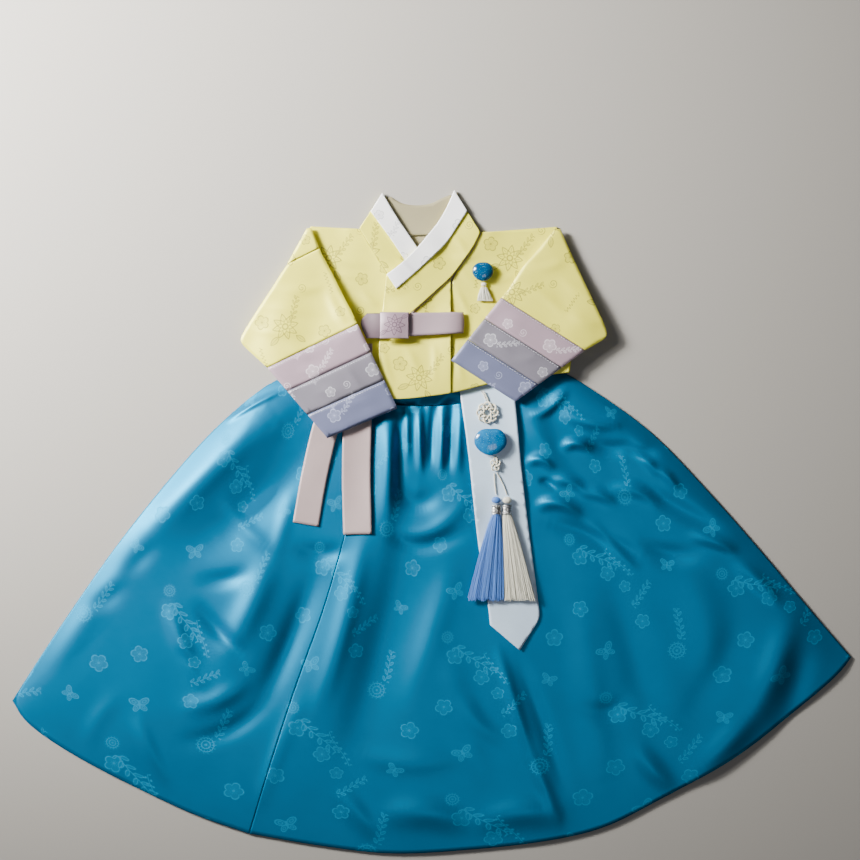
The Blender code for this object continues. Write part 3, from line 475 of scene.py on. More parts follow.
JACKET_DAMASK = Damask("Jacket damask repeat", 104.0, 92.0, (
    Placed(Motif.LOTUS, 52, 44, 12, 31),
    Placed(Motif.BLOSSOM, 30, 60, 10, 17),
    Placed(Motif.SPRIG, 70, 58, 38, 30),
    Placed(Motif.LEAF, 34, 34, 200, 14),
    Placed(Motif.LEAF, 62, 24, -60, 13),
    Placed(Motif.BLOSSOM, 90, 20, 40, 15),
    Placed(Motif.BERRIES, 14, 22, 70, 26),
    Placed(Motif.TENDRIL, 88, 76, 0, 11),
    Placed(Motif.BLOSSOM, 12, 78, 0, 12),
))
CUFF_DAMASK = Damask("Cuff damask repeat", 62.0, 56.0, (
    Placed(Motif.BLOSSOM, 16, 18, 10, 16),
    Placed(Motif.SPRIG, 36, 24, 20, 26),
    Placed(Motif.TENDRIL, 44, 44, 0, 10),
    Placed(Motif.BLOSSOM, 24, 44, 0, 12),
))
KNOT_DAMASK = Damask("Ribbon knot flower", 60.0, 60.0, (
    Placed(Motif.LOTUS, 30, 30, 20, 25),
    Placed(Motif.LEAF, 17, 21, 215, 10),
    Placed(Motif.LEAF, 42, 40, 30, 10),
))


# ------------------------------------------------------------------ finishes
def start_material(name: str
                   ) -> tuple[bpy.types.Material, bpy.types.NodeTree, bpy.types.Node]:
    """Start a material.

    Args:
        name: Name of the material.

    Returns:
        The material, its node tree and its Principled shader.
    """
    material = bpy.data.materials.new(name)
    material.use_nodes = True
    return material, material.node_tree, material.node_tree.nodes["Principled BSDF"]


def place_mm(tree: bpy.types.NodeTree, kind: str) -> bpy.types.NodeSocket:
    """Texture coordinates in millimetres.

    Args:
        tree: Node tree of the material.
        kind: Which coordinates: ``UV`` on cloth, ``Object`` on other things.

    Returns:
        The socket that gives the place.
    """
    metres = add(tree, "ShaderNodeTexCoord").outputs[kind]
    scaled = add(tree, "ShaderNodeMapping", inputs={"Vector": metres, "Scale": (1 / MM,) * 3})
    return scaled.outputs[0]


def noise(tree: bpy.types.NodeTree, place: bpy.types.NodeSocket, scale: float,
          detail: float = 2.0, roughness: float = 0.5, space: str = "3D") -> Formula:
    """Soft random pattern.

    Args:
        tree: Node tree of the material.
        place: Place in millimetres.
        scale: Waves in a millimetre.
        detail: Octaves of finer pattern.
        roughness: Strength of each octave against the last.
        space: ``2D`` or ``3D``.

    Returns:
        The pattern, about 0.5 on average.
    """
    node = add(tree, "ShaderNodeTexNoise", {"noise_dimensions": space},
               {"Vector": place, "Scale": scale, "Detail": detail, "Roughness": roughness})
    return Formula(tree, node.outputs["Fac"])


def mixed(tree: bpy.types.NodeTree, factor: object, low: object, high: object,
          blend: str = "MIX") -> bpy.types.NodeSocket:
    """Mix of two colours.

    Args:
        tree: Node tree of the material.
        factor: Share of the second colour.
        low: First colour.
        high: Second colour.
        blend: Blender's name of the way to mix.

    Returns:
        The socket that gives the mix.
    """
    return add(tree, "ShaderNodeMix", {"data_type": "RGBA", "blend_type": blend},
               {"Factor": factor, 6: low, 7: high}).outputs[2]


def toned(tree: bpy.types.NodeTree, colour: object, tone: Formula) -> bpy.types.NodeSocket:
    """Colour made lighter or darker by a factor.

    Args:
        tree: Node tree of the material.
        colour: The colour.
        tone: The factor.

    Returns:
        The socket that gives the result.
    """
    grey = add(tree, "ShaderNodeCombineColor", inputs={0: tone, 1: tone, 2: tone})
    return mixed(tree, 1.0, colour, grey.outputs[0], "MULTIPLY")


def bumped(tree: bpy.types.NodeTree, height: Formula, distance: float, strength: float,
           invert: bool = False) -> bpy.types.NodeSocket:
    """Normal of a surface with a fine relief.

    Args:
        tree: Node tree of the material.
        height: The relief, from zero to one.
        distance: Its depth in metres.
        strength: How much of it shows.
        invert: Whether high values are grooves.

    Returns:
        The socket that gives the normal.
    """
    return add(tree, "ShaderNodeBump", {"invert": invert},
               {"Height": height, "Distance": distance, "Strength": strength}).outputs[0]


@dataclass(frozen=True)
class SatinWeave:
    """Satin: long floating threads with a soft coloured shine; a damask weaves motifs dull in it.

    Threads are taken as 0.1 mm apart, too fine to show, so the weft is drawn about ten times as
    coarse, as faint streaks.  ``figure`` is the colour of the woven motifs, and ``shine`` the tint
    of the gloss.
    """

    name: str
    ground: str
    figure: str
    shine: str
    roughness: float = 0.38
    gloss: float = 0.7
    index: float = 1.7
    figure_strength: float = 0.8
    damask: Damask | None = None
    sheen: float = 0.06
    streak_mm: tuple[float, float] = (14.0, 0.9)

    def build(self) -> bpy.types.Material:
        """Make the material.

        Returns:
            The finished material.
        """
        material, tree, shader = start_material(self.name)
        place = place_mm(tree, "UV")
        streaks = add(tree, "ShaderNodeMapping", inputs={
            "Vector": place, "Scale": (1 / self.streak_mm[0], 1 / self.streak_mm[1], 1)})
        weft = noise(tree, streaks.outputs[0], 1.0, 3.0, 0.6, "2D")
        cloudy = noise(tree, place, 0.03, space="2D")
        tone = weft * 0.10 + cloudy * 0.16 + 0.87
        colour: object = linear(self.ground)
        rough = weft * 0.08 + (self.roughness - 0.04)
        relief = weft * 0.25
        if self.damask:
            woven = add(tree, "ShaderNodeGroup", {"node_tree": self.damask.group()},
                        {"Place": place}).outputs["Mask"]
            grain = noise(tree, place, 0.9, space="2D")
            mask = Formula(tree, woven) * (grain * 0.8 + 0.5)
            mask = mask.apply("MINIMUM", 1.0) * self.figure_strength
            colour = mixed(tree, mask, colour, linear(self.figure))
            rough = rough + mask * 0.22
            relief = relief + mask * 0.6
        connect(tree, shader, {
            "Base Color": toned(tree, colour, tone), "Roughness": rough,
            "Normal": bumped(tree, relief, 0.12 * MM, 0.5), "IOR": self.index,
            "Specular IOR Level": self.gloss, "Specular Tint": linear(self.shine),
            "Sheen Weight": self.sheen, "Sheen Tint": linear(self.shine), "Sheen Roughness": 0.4})
        return material


@dataclass(frozen=True)
class ThreadFinish:
    """Twisted rayon thread or cord: silky, with a fine slanting twist along each strand."""

    name: str
    colour: str
    roughness: float = 0.42
    twist_mm: float = 1.4

    def build(self) -> bpy.types.Material:
        """Make the material.

        Returns:
            The finished material.
        """
        material, tree, shader = start_material(self.name)
        place = place_mm(tree, "Object")
        wave = add(tree, "ShaderNodeTexWave", {"wave_type": "BANDS", "bands_direction": "DIAGONAL"},
                   {"Vector": place, "Scale": 1 / self.twist_mm, "Distortion": 1.0})
        twist = Formula(tree, wave.outputs["Fac"])
        tone = twist * 0.18 + noise(tree, place, 0.5) * 0.2 + 0.76
        connect(tree, shader, {
            "Base Color": toned(tree, linear(self.colour), tone), "Roughness": self.roughness,
            "Normal": bumped(tree, twist, 0.15 * MM, 0.6), "Sheen Weight": 0.3})
        return material


@dataclass(frozen=True)
class GlitterGlass:
    """Cast blue glass bead with bright flecks of foil inside, under a polished face."""

    name: str = "Blue glitter glass"
    deep: str = "#003A70"
    light: str = "#0082BE"
    fleck: str = "#8FE3F4"

    def build(self) -> bpy.types.Material:
        """Make the material.

        Returns:
            The finished material.
        """
        material, tree, shader = start_material(self.name)
        place = place_mm(tree, "Object")
        cells = add(tree, "ShaderNodeTexVoronoi", {"feature": "F1"},
                    {"Vector": place, "Scale": 0.9})
        speck = Formula(tree, cells.outputs["Distance"]).within(0.22, 0.16)
        rare = noise(tree, place, 0.7, 1.0).within(0.47, 0.08)
        base = mixed(tree, noise(tree, place, 0.16, 3.0), linear(self.deep), linear(self.light))
        connect(tree, shader, {
            "Base Color": mixed(tree, speck * rare * 0.75, base, linear(self.fleck)),
            "Roughness": 0.16, "Coat Weight": 0.5, "Coat Roughness": 0.04})
        return material


@dataclass(frozen=True)
class PlatedSilver:
    """Silver-plated brass cap, stamped and lightly tarnished in its grooves."""

    name: str = "Stamped silver plate"
    bright: str = "#DADADC"
    dull: str = "#8D8B88"

    def build(self) -> bpy.types.Material:
        """Make the material.

        Returns:
            The finished material.
        """
        material, tree, shader = start_material(self.name)
        cells = add(tree, "ShaderNodeTexVoronoi", {"feature": "DISTANCE_TO_EDGE"},
                    {"Vector": place_mm(tree, "Object"), "Scale": 0.45})
        groove = Formula(tree, cells.outputs["Distance"]).within(0.12, 0.14)
        connect(tree, shader, {
            "Base Color": mixed(tree, groove, linear(self.bright), linear(self.dull)),
            "Normal": bumped(tree, groove, 0.3 * MM, 0.8, invert=True),
            "Metallic": 1.0, "Roughness": 0.28})
        return material


class Finish(Enum):
    """Finishes of the garment, one for each dyed cloth, thread or trim, and two cloths painted
    darker for painted shade.
    """

    # Deep ground under a bright cyan shine: folds run from dark to light, flowers a little paler.
    TURQUOISE = SatinWeave("Turquoise silk satin damask", "#005177", "#1683AC", "#00BEF6",
                           roughness=0.46, gloss=0.85, index=1.95, figure_strength=0.7,
                           damask=SKIRT_DAMASK)
    # Warm pale cloth whose flowers show as thin darker outlines.
    YELLOW = SatinWeave("Pale yellow silk satin damask", "#EDE74C", "#7C7616", "#FFFAA8",
                        roughness=0.48, gloss=1.0, index=1.75, figure_strength=0.9,
                        damask=JACKET_DAMASK)
    # White lining painted dark beige for painted shade, where it sits back in the neck; plain and
    # dull.
    LINING = SatinWeave("White silk lining", "#968E6E", "#968E6E", "#FFFFFF", roughness=0.5,
                        gloss=0.4)
    # Used for the cuff stitches: clear pale dashes.
    WHITE = SatinWeave("White silk satin", "#E0E1EA", "#D2D3DC", "#FFFFFF", roughness=0.42,
                       gloss=0.55, figure_strength=0.5)
    # Muted pink with paler flowers: the widest band of each cuff.
    ROSE = SatinWeave("Dusty rose satin damask", "#9E8995", "#EBE2EA", "#FFE8F4", roughness=0.42,
                      gloss=0.55, figure_strength=0.7, damask=CUFF_DAMASK)
    # Greyer and duller than its neighbours: it reads as sheer.
    LILAC = SatinWeave("Lilac grey silk gauze", "#76727D", "#C6C6CF", "#F4F2FF", roughness=0.45,
                       gloss=0.5, figure_strength=0.9, damask=CUFF_DAMASK)
    # Cool end of the cuff, with pale flowers.
    PERIWINKLE = SatinWeave("Periwinkle satin damask", "#676C8A", "#B9C0E0", "#E4E8FF",
                            roughness=0.42, gloss=0.55, figure_strength=0.7, damask=CUFF_DAMASK)
    # One dark lotus on pink: it marks the knot.
    KNOT = SatinWeave("Flowered ribbon satin", "#9C8692", "#5E4457", "#FFF4FA", roughness=0.42,
                      gloss=0.5, figure_strength=1.0, damask=KNOT_DAMASK)
    # Cool white with a soft gloss: the pale stripe on the turquoise.
    SASH = SatinWeave("Blue-white sash satin", "#C4DCF2", "#B2CCE6", "#FFFFFF", roughness=0.40,
                      gloss=0.8, figure_strength=0.5)
    # Whitest cloth of all, with faint grey flowers.
    STRIP = SatinWeave("White collar damask", "#FDFDFF", "#A9ACB0", "#FFFFFF", roughness=0.42,
                       gloss=0.5, figure_strength=0.8, damask=CUFF_DAMASK)
    # Ribbon satin painted darker for painted shade, where the ribbon turns in.
    FOLD = SatinWeave("Shaded ribbon satin", "#61525A", "#AA9AA1", "#FFF0F6", roughness=0.42,
                      gloss=0.5)
    # Smooth pink with a clear gloss on the half bow.
    RIBBON = SatinWeave("Rose ribbon satin", "#A08C94", "#AE9EA5", "#FFF0F6", roughness=0.38,
                        gloss=0.7)
    # Paler and duller than the bow: the two tails.
    TAIL = SatinWeave("Faded rose ribbon satin", "#A79494", "#B2A2A9", "#FFF6F2", roughness=0.40,
                      gloss=0.6)
    # Warm off-white twist of the knots and strings.
    IVORY_CORD = ThreadFinish("Ivory knotting cord", "#E8E3CF")
    # Pale silky strands with a visible twist.
    IVORY_THREAD = ThreadFinish("Ivory tassel thread", "#DEDCCC", 0.4, 2.2)
    # Clear periwinkle blue strands.
    BLUE_THREAD = ThreadFinish("Periwinkle tassel thread", "#487CCC", 0.38, 2.2)
    # Thin dusty pink line along the collar.
    PIPING = ThreadFinish("Rose piping cord", "#B29C98")
    # Deep blue with bright flecks inside and a polished highlight.
    GLASS = GlitterGlass()
    # Same glass, darker: the brooch.
    DEEP_GLASS = GlitterGlass("Deep blue glitter glass", "#002C50", "#005484")
    # Bright metal with dull grooves: the small caps.
    SILVER = PlatedSilver()

    def material(self) -> bpy.types.Material:
        """Material of this finish, made when it is first asked for."""
        return bpy.data.materials.get(self.value.name) or self.value.build()


# ------------------------------------------------------------------ meshes
def node_mesh(node: str) -> bmesh.types.BMesh:
    """Merged copy of a solid's mesh, with its triangles paired into four-sided faces.

    Args:
        node: Name of the solid.

    Returns:
        The copy.
    """
    bm = bmesh.new()
    bm.from_mesh(frame["nodes"][node].data)
    bmesh.ops.remove_doubles(bm, verts=bm.verts, dist=MERGE_DISTANCE)
    bmesh.ops.join_triangles(bm, faces=bm.faces, angle_face_threshold=QUAD_ANGLE,
                             angle_shape_threshold=QUAD_ANGLE)
    return bm


def linked(name: str, data: bpy.types.ID) -> bpy.types.Object:
    """Object of some data, linked to the scene.

    Args:
        name: Name of the object.
        data: Its mesh, lamp or camera.

    Returns:
        The object.
    """
    obj = bpy.data.objects.new(name, data)
    bpy.context.scene.collection.objects.link(obj)
    return obj


def from_bmesh(name: str, bm: bmesh.types.BMesh) -> bpy.types.Mesh:
    """Turn a bmesh into a smooth mesh, and free it.

    Args:
        name: Name of the mesh.
        bm: The bmesh.

    Returns:
        The mesh.
    """
    mesh = bpy.data.meshes.new(name)
    bm.to_mesh(mesh)
    bm.free()
    mesh.shade_smooth()
    return mesh


def plain_object(name: str, mesh: bpy.types.Mesh, finish: Finish) -> bpy.types.Object:
    """Link a mesh to the scene as an object at the origin, in one finish.

    Args:
        name: Name of the object.
        mesh: Its mesh, already in place.
        finish: Its finish.

    Returns:
        The object.
    """
    mesh.materials.clear()
    mesh.materials.append(finish.material())
    return linked(name, mesh)


def baked(obj: bpy.types.Object) -> bpy.types.Object:
    """Apply an object's modifiers to its mesh.

    Args:
        obj: The object.

    Returns:
        The same object, with no modifier left.
    """
    graph = bpy.context.evaluated_depsgraph_get()
    mesh = bpy.data.meshes.new_from_object(obj.evaluated_get(graph))
    materials = list(obj.data.materials)
    old = obj.data
    obj.modifiers.clear()
    obj.data = mesh
    mesh.name = obj.name
    if not mesh.materials:
        for material in materials:
            mesh.materials.append(material)
    bpy.data.meshes.remove(old)
    return obj


def subdivide(obj: bpy.types.Object, levels: int, boundary: str = "ALL") -> None:
    """Divide and round an object's mesh.

    Args:
        obj: The object.
        levels: Times each face is divided.
        boundary: Blender's name of the way in which open edges are rounded.
    """
    soft = obj.modifiers.new("Smooth form", "SUBSURF")
    soft.levels = soft.render_levels = levels
    soft.boundary_smooth = boundary
    baked(obj)


def sweep(name: str, path: np.ndarray, radius: float, finish: Finish, sides: int = 8,
          closed: bool = False) -> bpy.types.Object:
    """Round cord along a path that stays nearly level.

    Args:
        name: Name of the object.
        path: Points along the cord.
        radius: Radius of the cord.
        finish: Its finish.
        sides: Sides of its section.
        closed: Whether its end joins its start.

    Returns:
        The cord.
    """
    count = len(path)
    if closed:
        along = np.roll(path, -1, axis=0) - np.roll(path, 1, axis=0)
    else:
        along = np.gradient(path, axis=0)
    along /= np.linalg.norm(along, axis=1)[:, None]
    side = np.cross((0.0, 0.0, 1.0), along)
    side /= np.linalg.norm(side, axis=1)[:, None]
    rise = np.cross(along, side)
    turn = np.arange(sides) * 2 * math.pi / sides
    cosine, sine = np.cos(turn)[None, :, None], np.sin(turn)[None, :, None]
    ring = side[:, None] * cosine + rise[:, None] * sine
    points = (path[:, None] + radius * ring).reshape(-1, 3)
    faces = []
    for i in range(count if closed else count - 1):
        j = (i + 1) % count
        faces += [(i * sides + k, i * sides + (k + 1) % sides, j * sides + (k + 1) % sides,
                   j * sides + k) for k in range(sides)]
    if not closed:
        faces += [tuple(range(sides))[::-1], tuple(range((count - 1) * sides, count * sides))]
    mesh = bpy.data.meshes.new(name)
    mesh.from_pydata(points.tolist(), [], faces)
    mesh.shade_smooth()
    return plain_object(name, mesh, finish)


def grown(name: str, tree: bpy.types.NodeTree, finish: Finish,
          values: dict[str, object]) -> bpy.types.Object:
    """Run a Geometry Nodes tree and keep its result as a plain mesh.

    Args:
        name: Name of the object.
        tree: The tree.
        finish: Finish of the result.
        values: Value of each named input.

    Returns:
        The object, with no modifier left.
    """
    obj = plain_object(name, bpy.data.meshes.new(name), finish)
    modifier = obj.modifiers.new("Grow", "NODES")
    modifier.node_group = tree
    for item in tree.interface.items_tree:
        if item.item_type == "SOCKET" and item.in_out == "INPUT" and item.name in values:
            modifier[item.identifier] = values[item.name]
    obj.update_tag()
    return baked(obj)


def new_tree(name: str, inputs: dict[str, tuple[str, object]]
             ) -> tuple[bpy.types.NodeTree, bpy.types.Node]:
    """Start a Geometry Nodes tree with named inputs.

    Args:
        name: Name of the tree.
        inputs: Kind of socket and default value for each input.

    Returns:
        The tree and its input node.
    """
    tree = bpy.data.node_groups.new(name, "GeometryNodeTree")
    tree.interface.new_socket("Geometry", in_out="OUTPUT", socket_type="NodeSocketGeometry")
    for label, (kind, value) in inputs.items():
        socket = tree.interface.new_socket(label, in_out="INPUT", socket_type=kind)
        if value is not None:
            socket.default_value = value
    return tree, add(tree, "NodeGroupInput")


def finish_tree(tree: bpy.types.NodeTree, entry: bpy.types.Node,
                geometry: bpy.types.NodeSocket) -> None:
    """End a tree with Realize Instances, Set Material and the output.

    Args:
        tree: The tree.
        entry: Its input node.
        geometry: What it has made.
    """
    real = add(tree, "GeometryNodeRealizeInstances", inputs={0: geometry})
    smooth = add(tree, "GeometryNodeSetShadeSmooth", inputs={0: real.outputs[0]})
    dressed = add(tree, "GeometryNodeSetMaterial",
                  inputs={"Geometry": smooth.outputs[0], "Material": entry.outputs["Material"]})
    add(tree, "NodeGroupOutput", inputs={"Geometry": dressed.outputs[0]})


HALF_WAVE = 3.14159         # half a wave of the sine that bulges a tassel in its middle
STRAND_SWAY = 0.7 * MM      # how far a strand strays from its line


def strand_tree() -> bpy.types.NodeTree:
    """Tree of a tassel's strands: they hang from a narrow neck and fan out toward their ends.

    Returns:
        The tree, made once.
    """
    label = "Tassel strands"
    if label in bpy.data.node_groups:
        return bpy.data.node_groups[label]
    number = "NodeSocketFloat"
    tree, entry = new_tree(label, {
        "Count": ("NodeSocketInt", 200), "Seed": ("NodeSocketInt", 1),
        "Place": ("NodeSocketVector", (0, 0, 0)), "Length": (number, 0.1),
        "Top width": (number, 0.01), "Bottom width": (number, 0.04), "Lean": (number, 0.0),
        "Top depth": (number, 0.006), "Bottom depth": (number, 0.004),
        "Strand radius": (number, 0.0004), "Material": ("NodeSocketMaterial", None)})
    given = {s.name: Formula(tree, s) for s in entry.outputs if s.type == "VALUE"}

    def chance(low: float, high: float, offset: int) -> Formula:
        """Random value of each strand."""
        seed = Formula(tree, entry.outputs["Seed"]) + offset
        node = add(tree, "FunctionNodeRandomValue", {"data_type": "FLOAT"},
                   {2: low, 3: high, 8: seed})
        return Formula(tree, node.outputs[1])

    def kept(geometry: bpy.types.NodeSocket, name: str, value: Formula) -> bpy.types.NodeSocket:
        """Store a value on each strand's point."""
        node = add(tree, "GeometryNodeStoreNamedAttribute", {"data_type": "FLOAT"},
                   {"Geometry": geometry, "Name": name, "Value": value})
        return node.outputs[0]

    def read(name: str) -> Formula:
        """Read a value back on the strand's curve."""
        node = add(tree, "GeometryNodeInputNamedAttribute", {"data_type": "FLOAT"}, {"Name": name})
        return Formula(tree, node.outputs["Attribute"])

    roots = add(tree, "GeometryNodeMeshLine", inputs={"Count": entry.outputs["Count"]}).outputs[0]
    roots = kept(roots, "across", chance(-1, 1, 0))
    across = read("across")
    room = (across * across * -1 + 1).apply("SQRT")
    roots = kept(roots, "depth", chance(-1, 1, 1).apply("SIGN") * chance(0.35, 1, 2) * room)
    roots = kept(roots, "ending", chance(0.955, 1.0, 3))
    roots = kept(roots, "sway", chance(-1, 1, 4))
    line = add(tree, "GeometryNodeCurvePrimitiveLine",
               inputs={"Start": (0, 0, 0), "End": (0, -0.001, 0)})
    fine = add(tree, "GeometryNodeResampleCurve", inputs={"Curve": line.outputs[0], "Count": 13})
    copies = add(tree, "GeometryNodeInstanceOnPoints",
                 inputs={"Points": roots, "Instance": fine.outputs[0]})
    curves = add(tree, "GeometryNodeRealizeInstances", inputs={0: copies.outputs[0]})
    down = Formula(tree, add(tree, "GeometryNodeSplineParameter").outputs["Factor"])
    flare = down.apply("POWER", 0.8)
    wide = given["Top width"] + (given["Bottom width"] - given["Top width"]) * flare
    deep = given["Top depth"] + (given["Bottom depth"] - given["Top depth"]) * down
    swing = (down * 5.0 + read("sway") * 9.0).apply("SINE") * down * read("sway") * STRAND_SWAY
    x = across * wide * 0.5 + given["Lean"] * down + swing
    y = down * given["Length"] * read("ending") * -1
    z = read("depth") * deep * 0.5 + (down * HALF_WAVE).apply("SINE") * deep * 0.1
    place = add(tree, "ShaderNodeCombineXYZ", inputs={0: x, 1: y, 2: z})
    moved = add(tree, "ShaderNodeVectorMath", {"operation": "ADD"},
                {0: place.outputs[0], 1: entry.outputs["Place"]})
    hung = add(tree, "GeometryNodeSetPosition",
               inputs={"Geometry": curves.outputs[0], "Position": moved.outputs[0]})
    section = add(tree, "GeometryNodeCurvePrimitiveCircle",
                  inputs={"Resolution": 5, "Radius": given["Strand radius"]})
    strands = add(tree, "GeometryNodeCurveToMesh", inputs={
        "Curve": hung.outputs[0], "Profile Curve": section.outputs[0], "Fill Caps": True})
    finish_tree(tree, entry, strands.outputs[0])
    return tree


def stitch_tree() -> bpy.types.NodeTree:
    """Tree of a running stitch: short slim stitches at even steps along a line of edges.

    Returns:
        The tree, made once.
    """
    label = "Running stitch"
    if label in bpy.data.node_groups:
        return bpy.data.node_groups[label]
    number = "NodeSocketFloat"
    tree, entry = new_tree(label, {
        "Line": ("NodeSocketObject", None), "Step": (number, 0.0032), "Length": (number, 0.002),
        "Radius": (number, 0.00025), "Seed": ("NodeSocketInt", 3),
        "Material": ("NodeSocketMaterial", None)})
    given = {s.name: Formula(tree, s) for s in entry.outputs if s.type == "VALUE"}
    line = add(tree, "GeometryNodeObjectInfo", inputs={"Object": entry.outputs["Line"]})
    curve = add(tree, "GeometryNodeMeshToCurve", inputs={"Mesh": line.outputs["Geometry"]})
    even = add(tree, "GeometryNodeResampleCurve", {"mode": "LENGTH"},
               {"Curve": curve.outputs[0], "Length": given["Step"]})
    tangent = add(tree, "GeometryNodeInputTangent")
    turn = add(tree, "FunctionNodeAlignRotationToVector", {"axis": "Z"},
               {"Vector": tangent.outputs[0]})
    seed = Formula(tree, entry.outputs["Seed"])
    vary = add(tree, "FunctionNodeRandomValue", {"data_type": "FLOAT"}, {2: 0.85, 3: 1.1, 8: seed})
    stitch = add(tree, "GeometryNodeMeshCylinder", inputs={
        "Vertices": 6, "Radius": given["Radius"], "Depth": given["Length"]})
    placed = add(tree, "GeometryNodeInstanceOnPoints", inputs={
        "Points": even.outputs[0], "Instance": stitch.outputs[0], "Rotation": turn.outputs[0],
        "Scale": vary.outputs[1]})
    finish_tree(tree, entry, placed.outputs[0])
    return tree


def write_uv(mesh: bpy.types.Mesh, place: Callable[[np.ndarray], np.ndarray]) -> None:
    """Give a mesh a UV map in metres of cloth.

    Args:
        mesh: The mesh.
        place: Function from points to their places on the cloth.
    """
    count = len(mesh.vertices)
    points = np.empty(count * 3)
    mesh.vertices.foreach_get("co", points)
    laid = place(points.reshape(count, 3))
    loops = np.empty(len(mesh.loops), dtype=int)
    mesh.loops.foreach_get("vertex_index", loops)
    layer = mesh.uv_layers.new(name="Cloth")
    layer.data.foreach_set("uv", laid[loops].ravel())


def turned(angle: float, shift_mm: tuple[float, float] = (0.0, 0.0)
           ) -> Callable[[np.ndarray], np.ndarray]:
    """Cloth laid straight, its grain turned from +Y by an angle in degrees.

    Args:
        angle: The angle.
        shift_mm: Shift of the pattern on the cloth.

    Returns:
        Function from points to their places on the cloth.
    """
    c, s = math.cos(math.radians(angle)), math.sin(math.radians(angle))
    dx, dy = shift_mm[0] * MM, shift_mm[1] * MM
    return lambda p: np.column_stack([p[:, 0] * c + p[:, 1] * s + dx,
                                      p[:, 1] * c - p[:, 0] * s + dy])


FAN_CENTRE = np.array([-0.0075, 0.70])  # point from which the skirt's grain fans out
FAN_MIDDLE = 0.84                       # distance from it at which the pattern has its true width


def fanned(points: np.ndarray) -> np.ndarray:
    """Skirt cloth, whose grain fans out from a point above the waist.

    Args:
        points: Points of the cloth.

    Returns:
        Their places on the cloth.
    """
    off = points[:, :2] - FAN_CENTRE
    radius = np.linalg.norm(off, axis=1)
    return np.column_stack([np.arctan2(off[:, 0], -off[:, 1]) * FAN_MIDDLE, -radius])


@dataclass(frozen=True)
class Crease:
    """Soft ridge or trough along a curve, in millimetres: ends, bend, half width and height."""

    x0: float
    y0: float
    xm: float
    ym: float
    x1: float
    y1: float
    half_width: float
    height: float


def crease_field(creases: Sequence[Crease]) -> HeightField:
    """Height added by a table of creases.

    Args:
        creases: The table.

    Returns:
        Function from places, in metres, to heights in metres.
    """
    share = np.linspace(0, 1, 17)
    taper = np.sin(np.pi * (0.04 + 0.92 * share)) ** 0.8

    def height(x: np.ndarray, y: np.ndarray) -> np.ndarray:
        """Sum of the creases at places."""
        total = np.zeros(len(x))
        for c in creases:
            cx = (1 - share) ** 2 * c.x0 + 2 * share * (1 - share) * c.xm + share ** 2 * c.x1
            cy = (1 - share) ** 2 * c.y0 + 2 * share * (1 - share) * c.ym + share ** 2 * c.y1
            reach = 2.5 * c.half_width
            close = np.nonzero((x / MM > cx.min() - reach) & (x / MM < cx.max() + reach)
                               & (y / MM > cy.min() - reach) & (y / MM < cy.max() + reach))[0]
            px, py = x[close] / MM, y[close] / MM
            best = np.zeros(len(close))
            for k in range(len(share) - 1):
                dx, dy = cx[k + 1] - cx[k], cy[k + 1] - cy[k]
                along = ((px - cx[k]) * dx + (py - cy[k]) * dy) / (dx * dx + dy * dy)
                along = np.clip(along, 0, 1)
                off = (px - cx[k] - along * dx) ** 2 + (py - cy[k] - along * dy) ** 2
                strength = taper[k] + (taper[k + 1] - taper[k]) * along
                best = np.maximum(best, strength * np.exp(-off / c.half_width ** 2))
            total[close] += c.height * MM * best
        return total

    return height


class Ground:
    """Surface of some objects, felt from above."""

    def __init__(self, objects: Iterable[bpy.types.Object]) -> None:
        """Gather the objects' faces.

        Args:
            objects: Objects at the origin, unturned and unscaled.
        """
        points: list[Vector] = []
        faces: list[tuple[int, ...]] = []
        for obj in objects:
            first = len(points)
            points += [v.co.copy() for v in obj.data.vertices]
            faces += [tuple(first + i for i in p.vertices) for p in obj.data.polygons]
        self.tree = BVHTree.FromPolygons(points, faces)

    def height(self, x: float, y: float) -> float | None:
        """Height of the highest surface at a place, in metres.

        Args:
            x: Place across.
            y: Place up.

        Returns:
            The height, or None beyond the objects' outline.
        """
        hit = self.tree.ray_cast(Vector((x, y, RAY_START)), Vector((0, 0, -1)))[0]
        return None if hit is None else hit.z


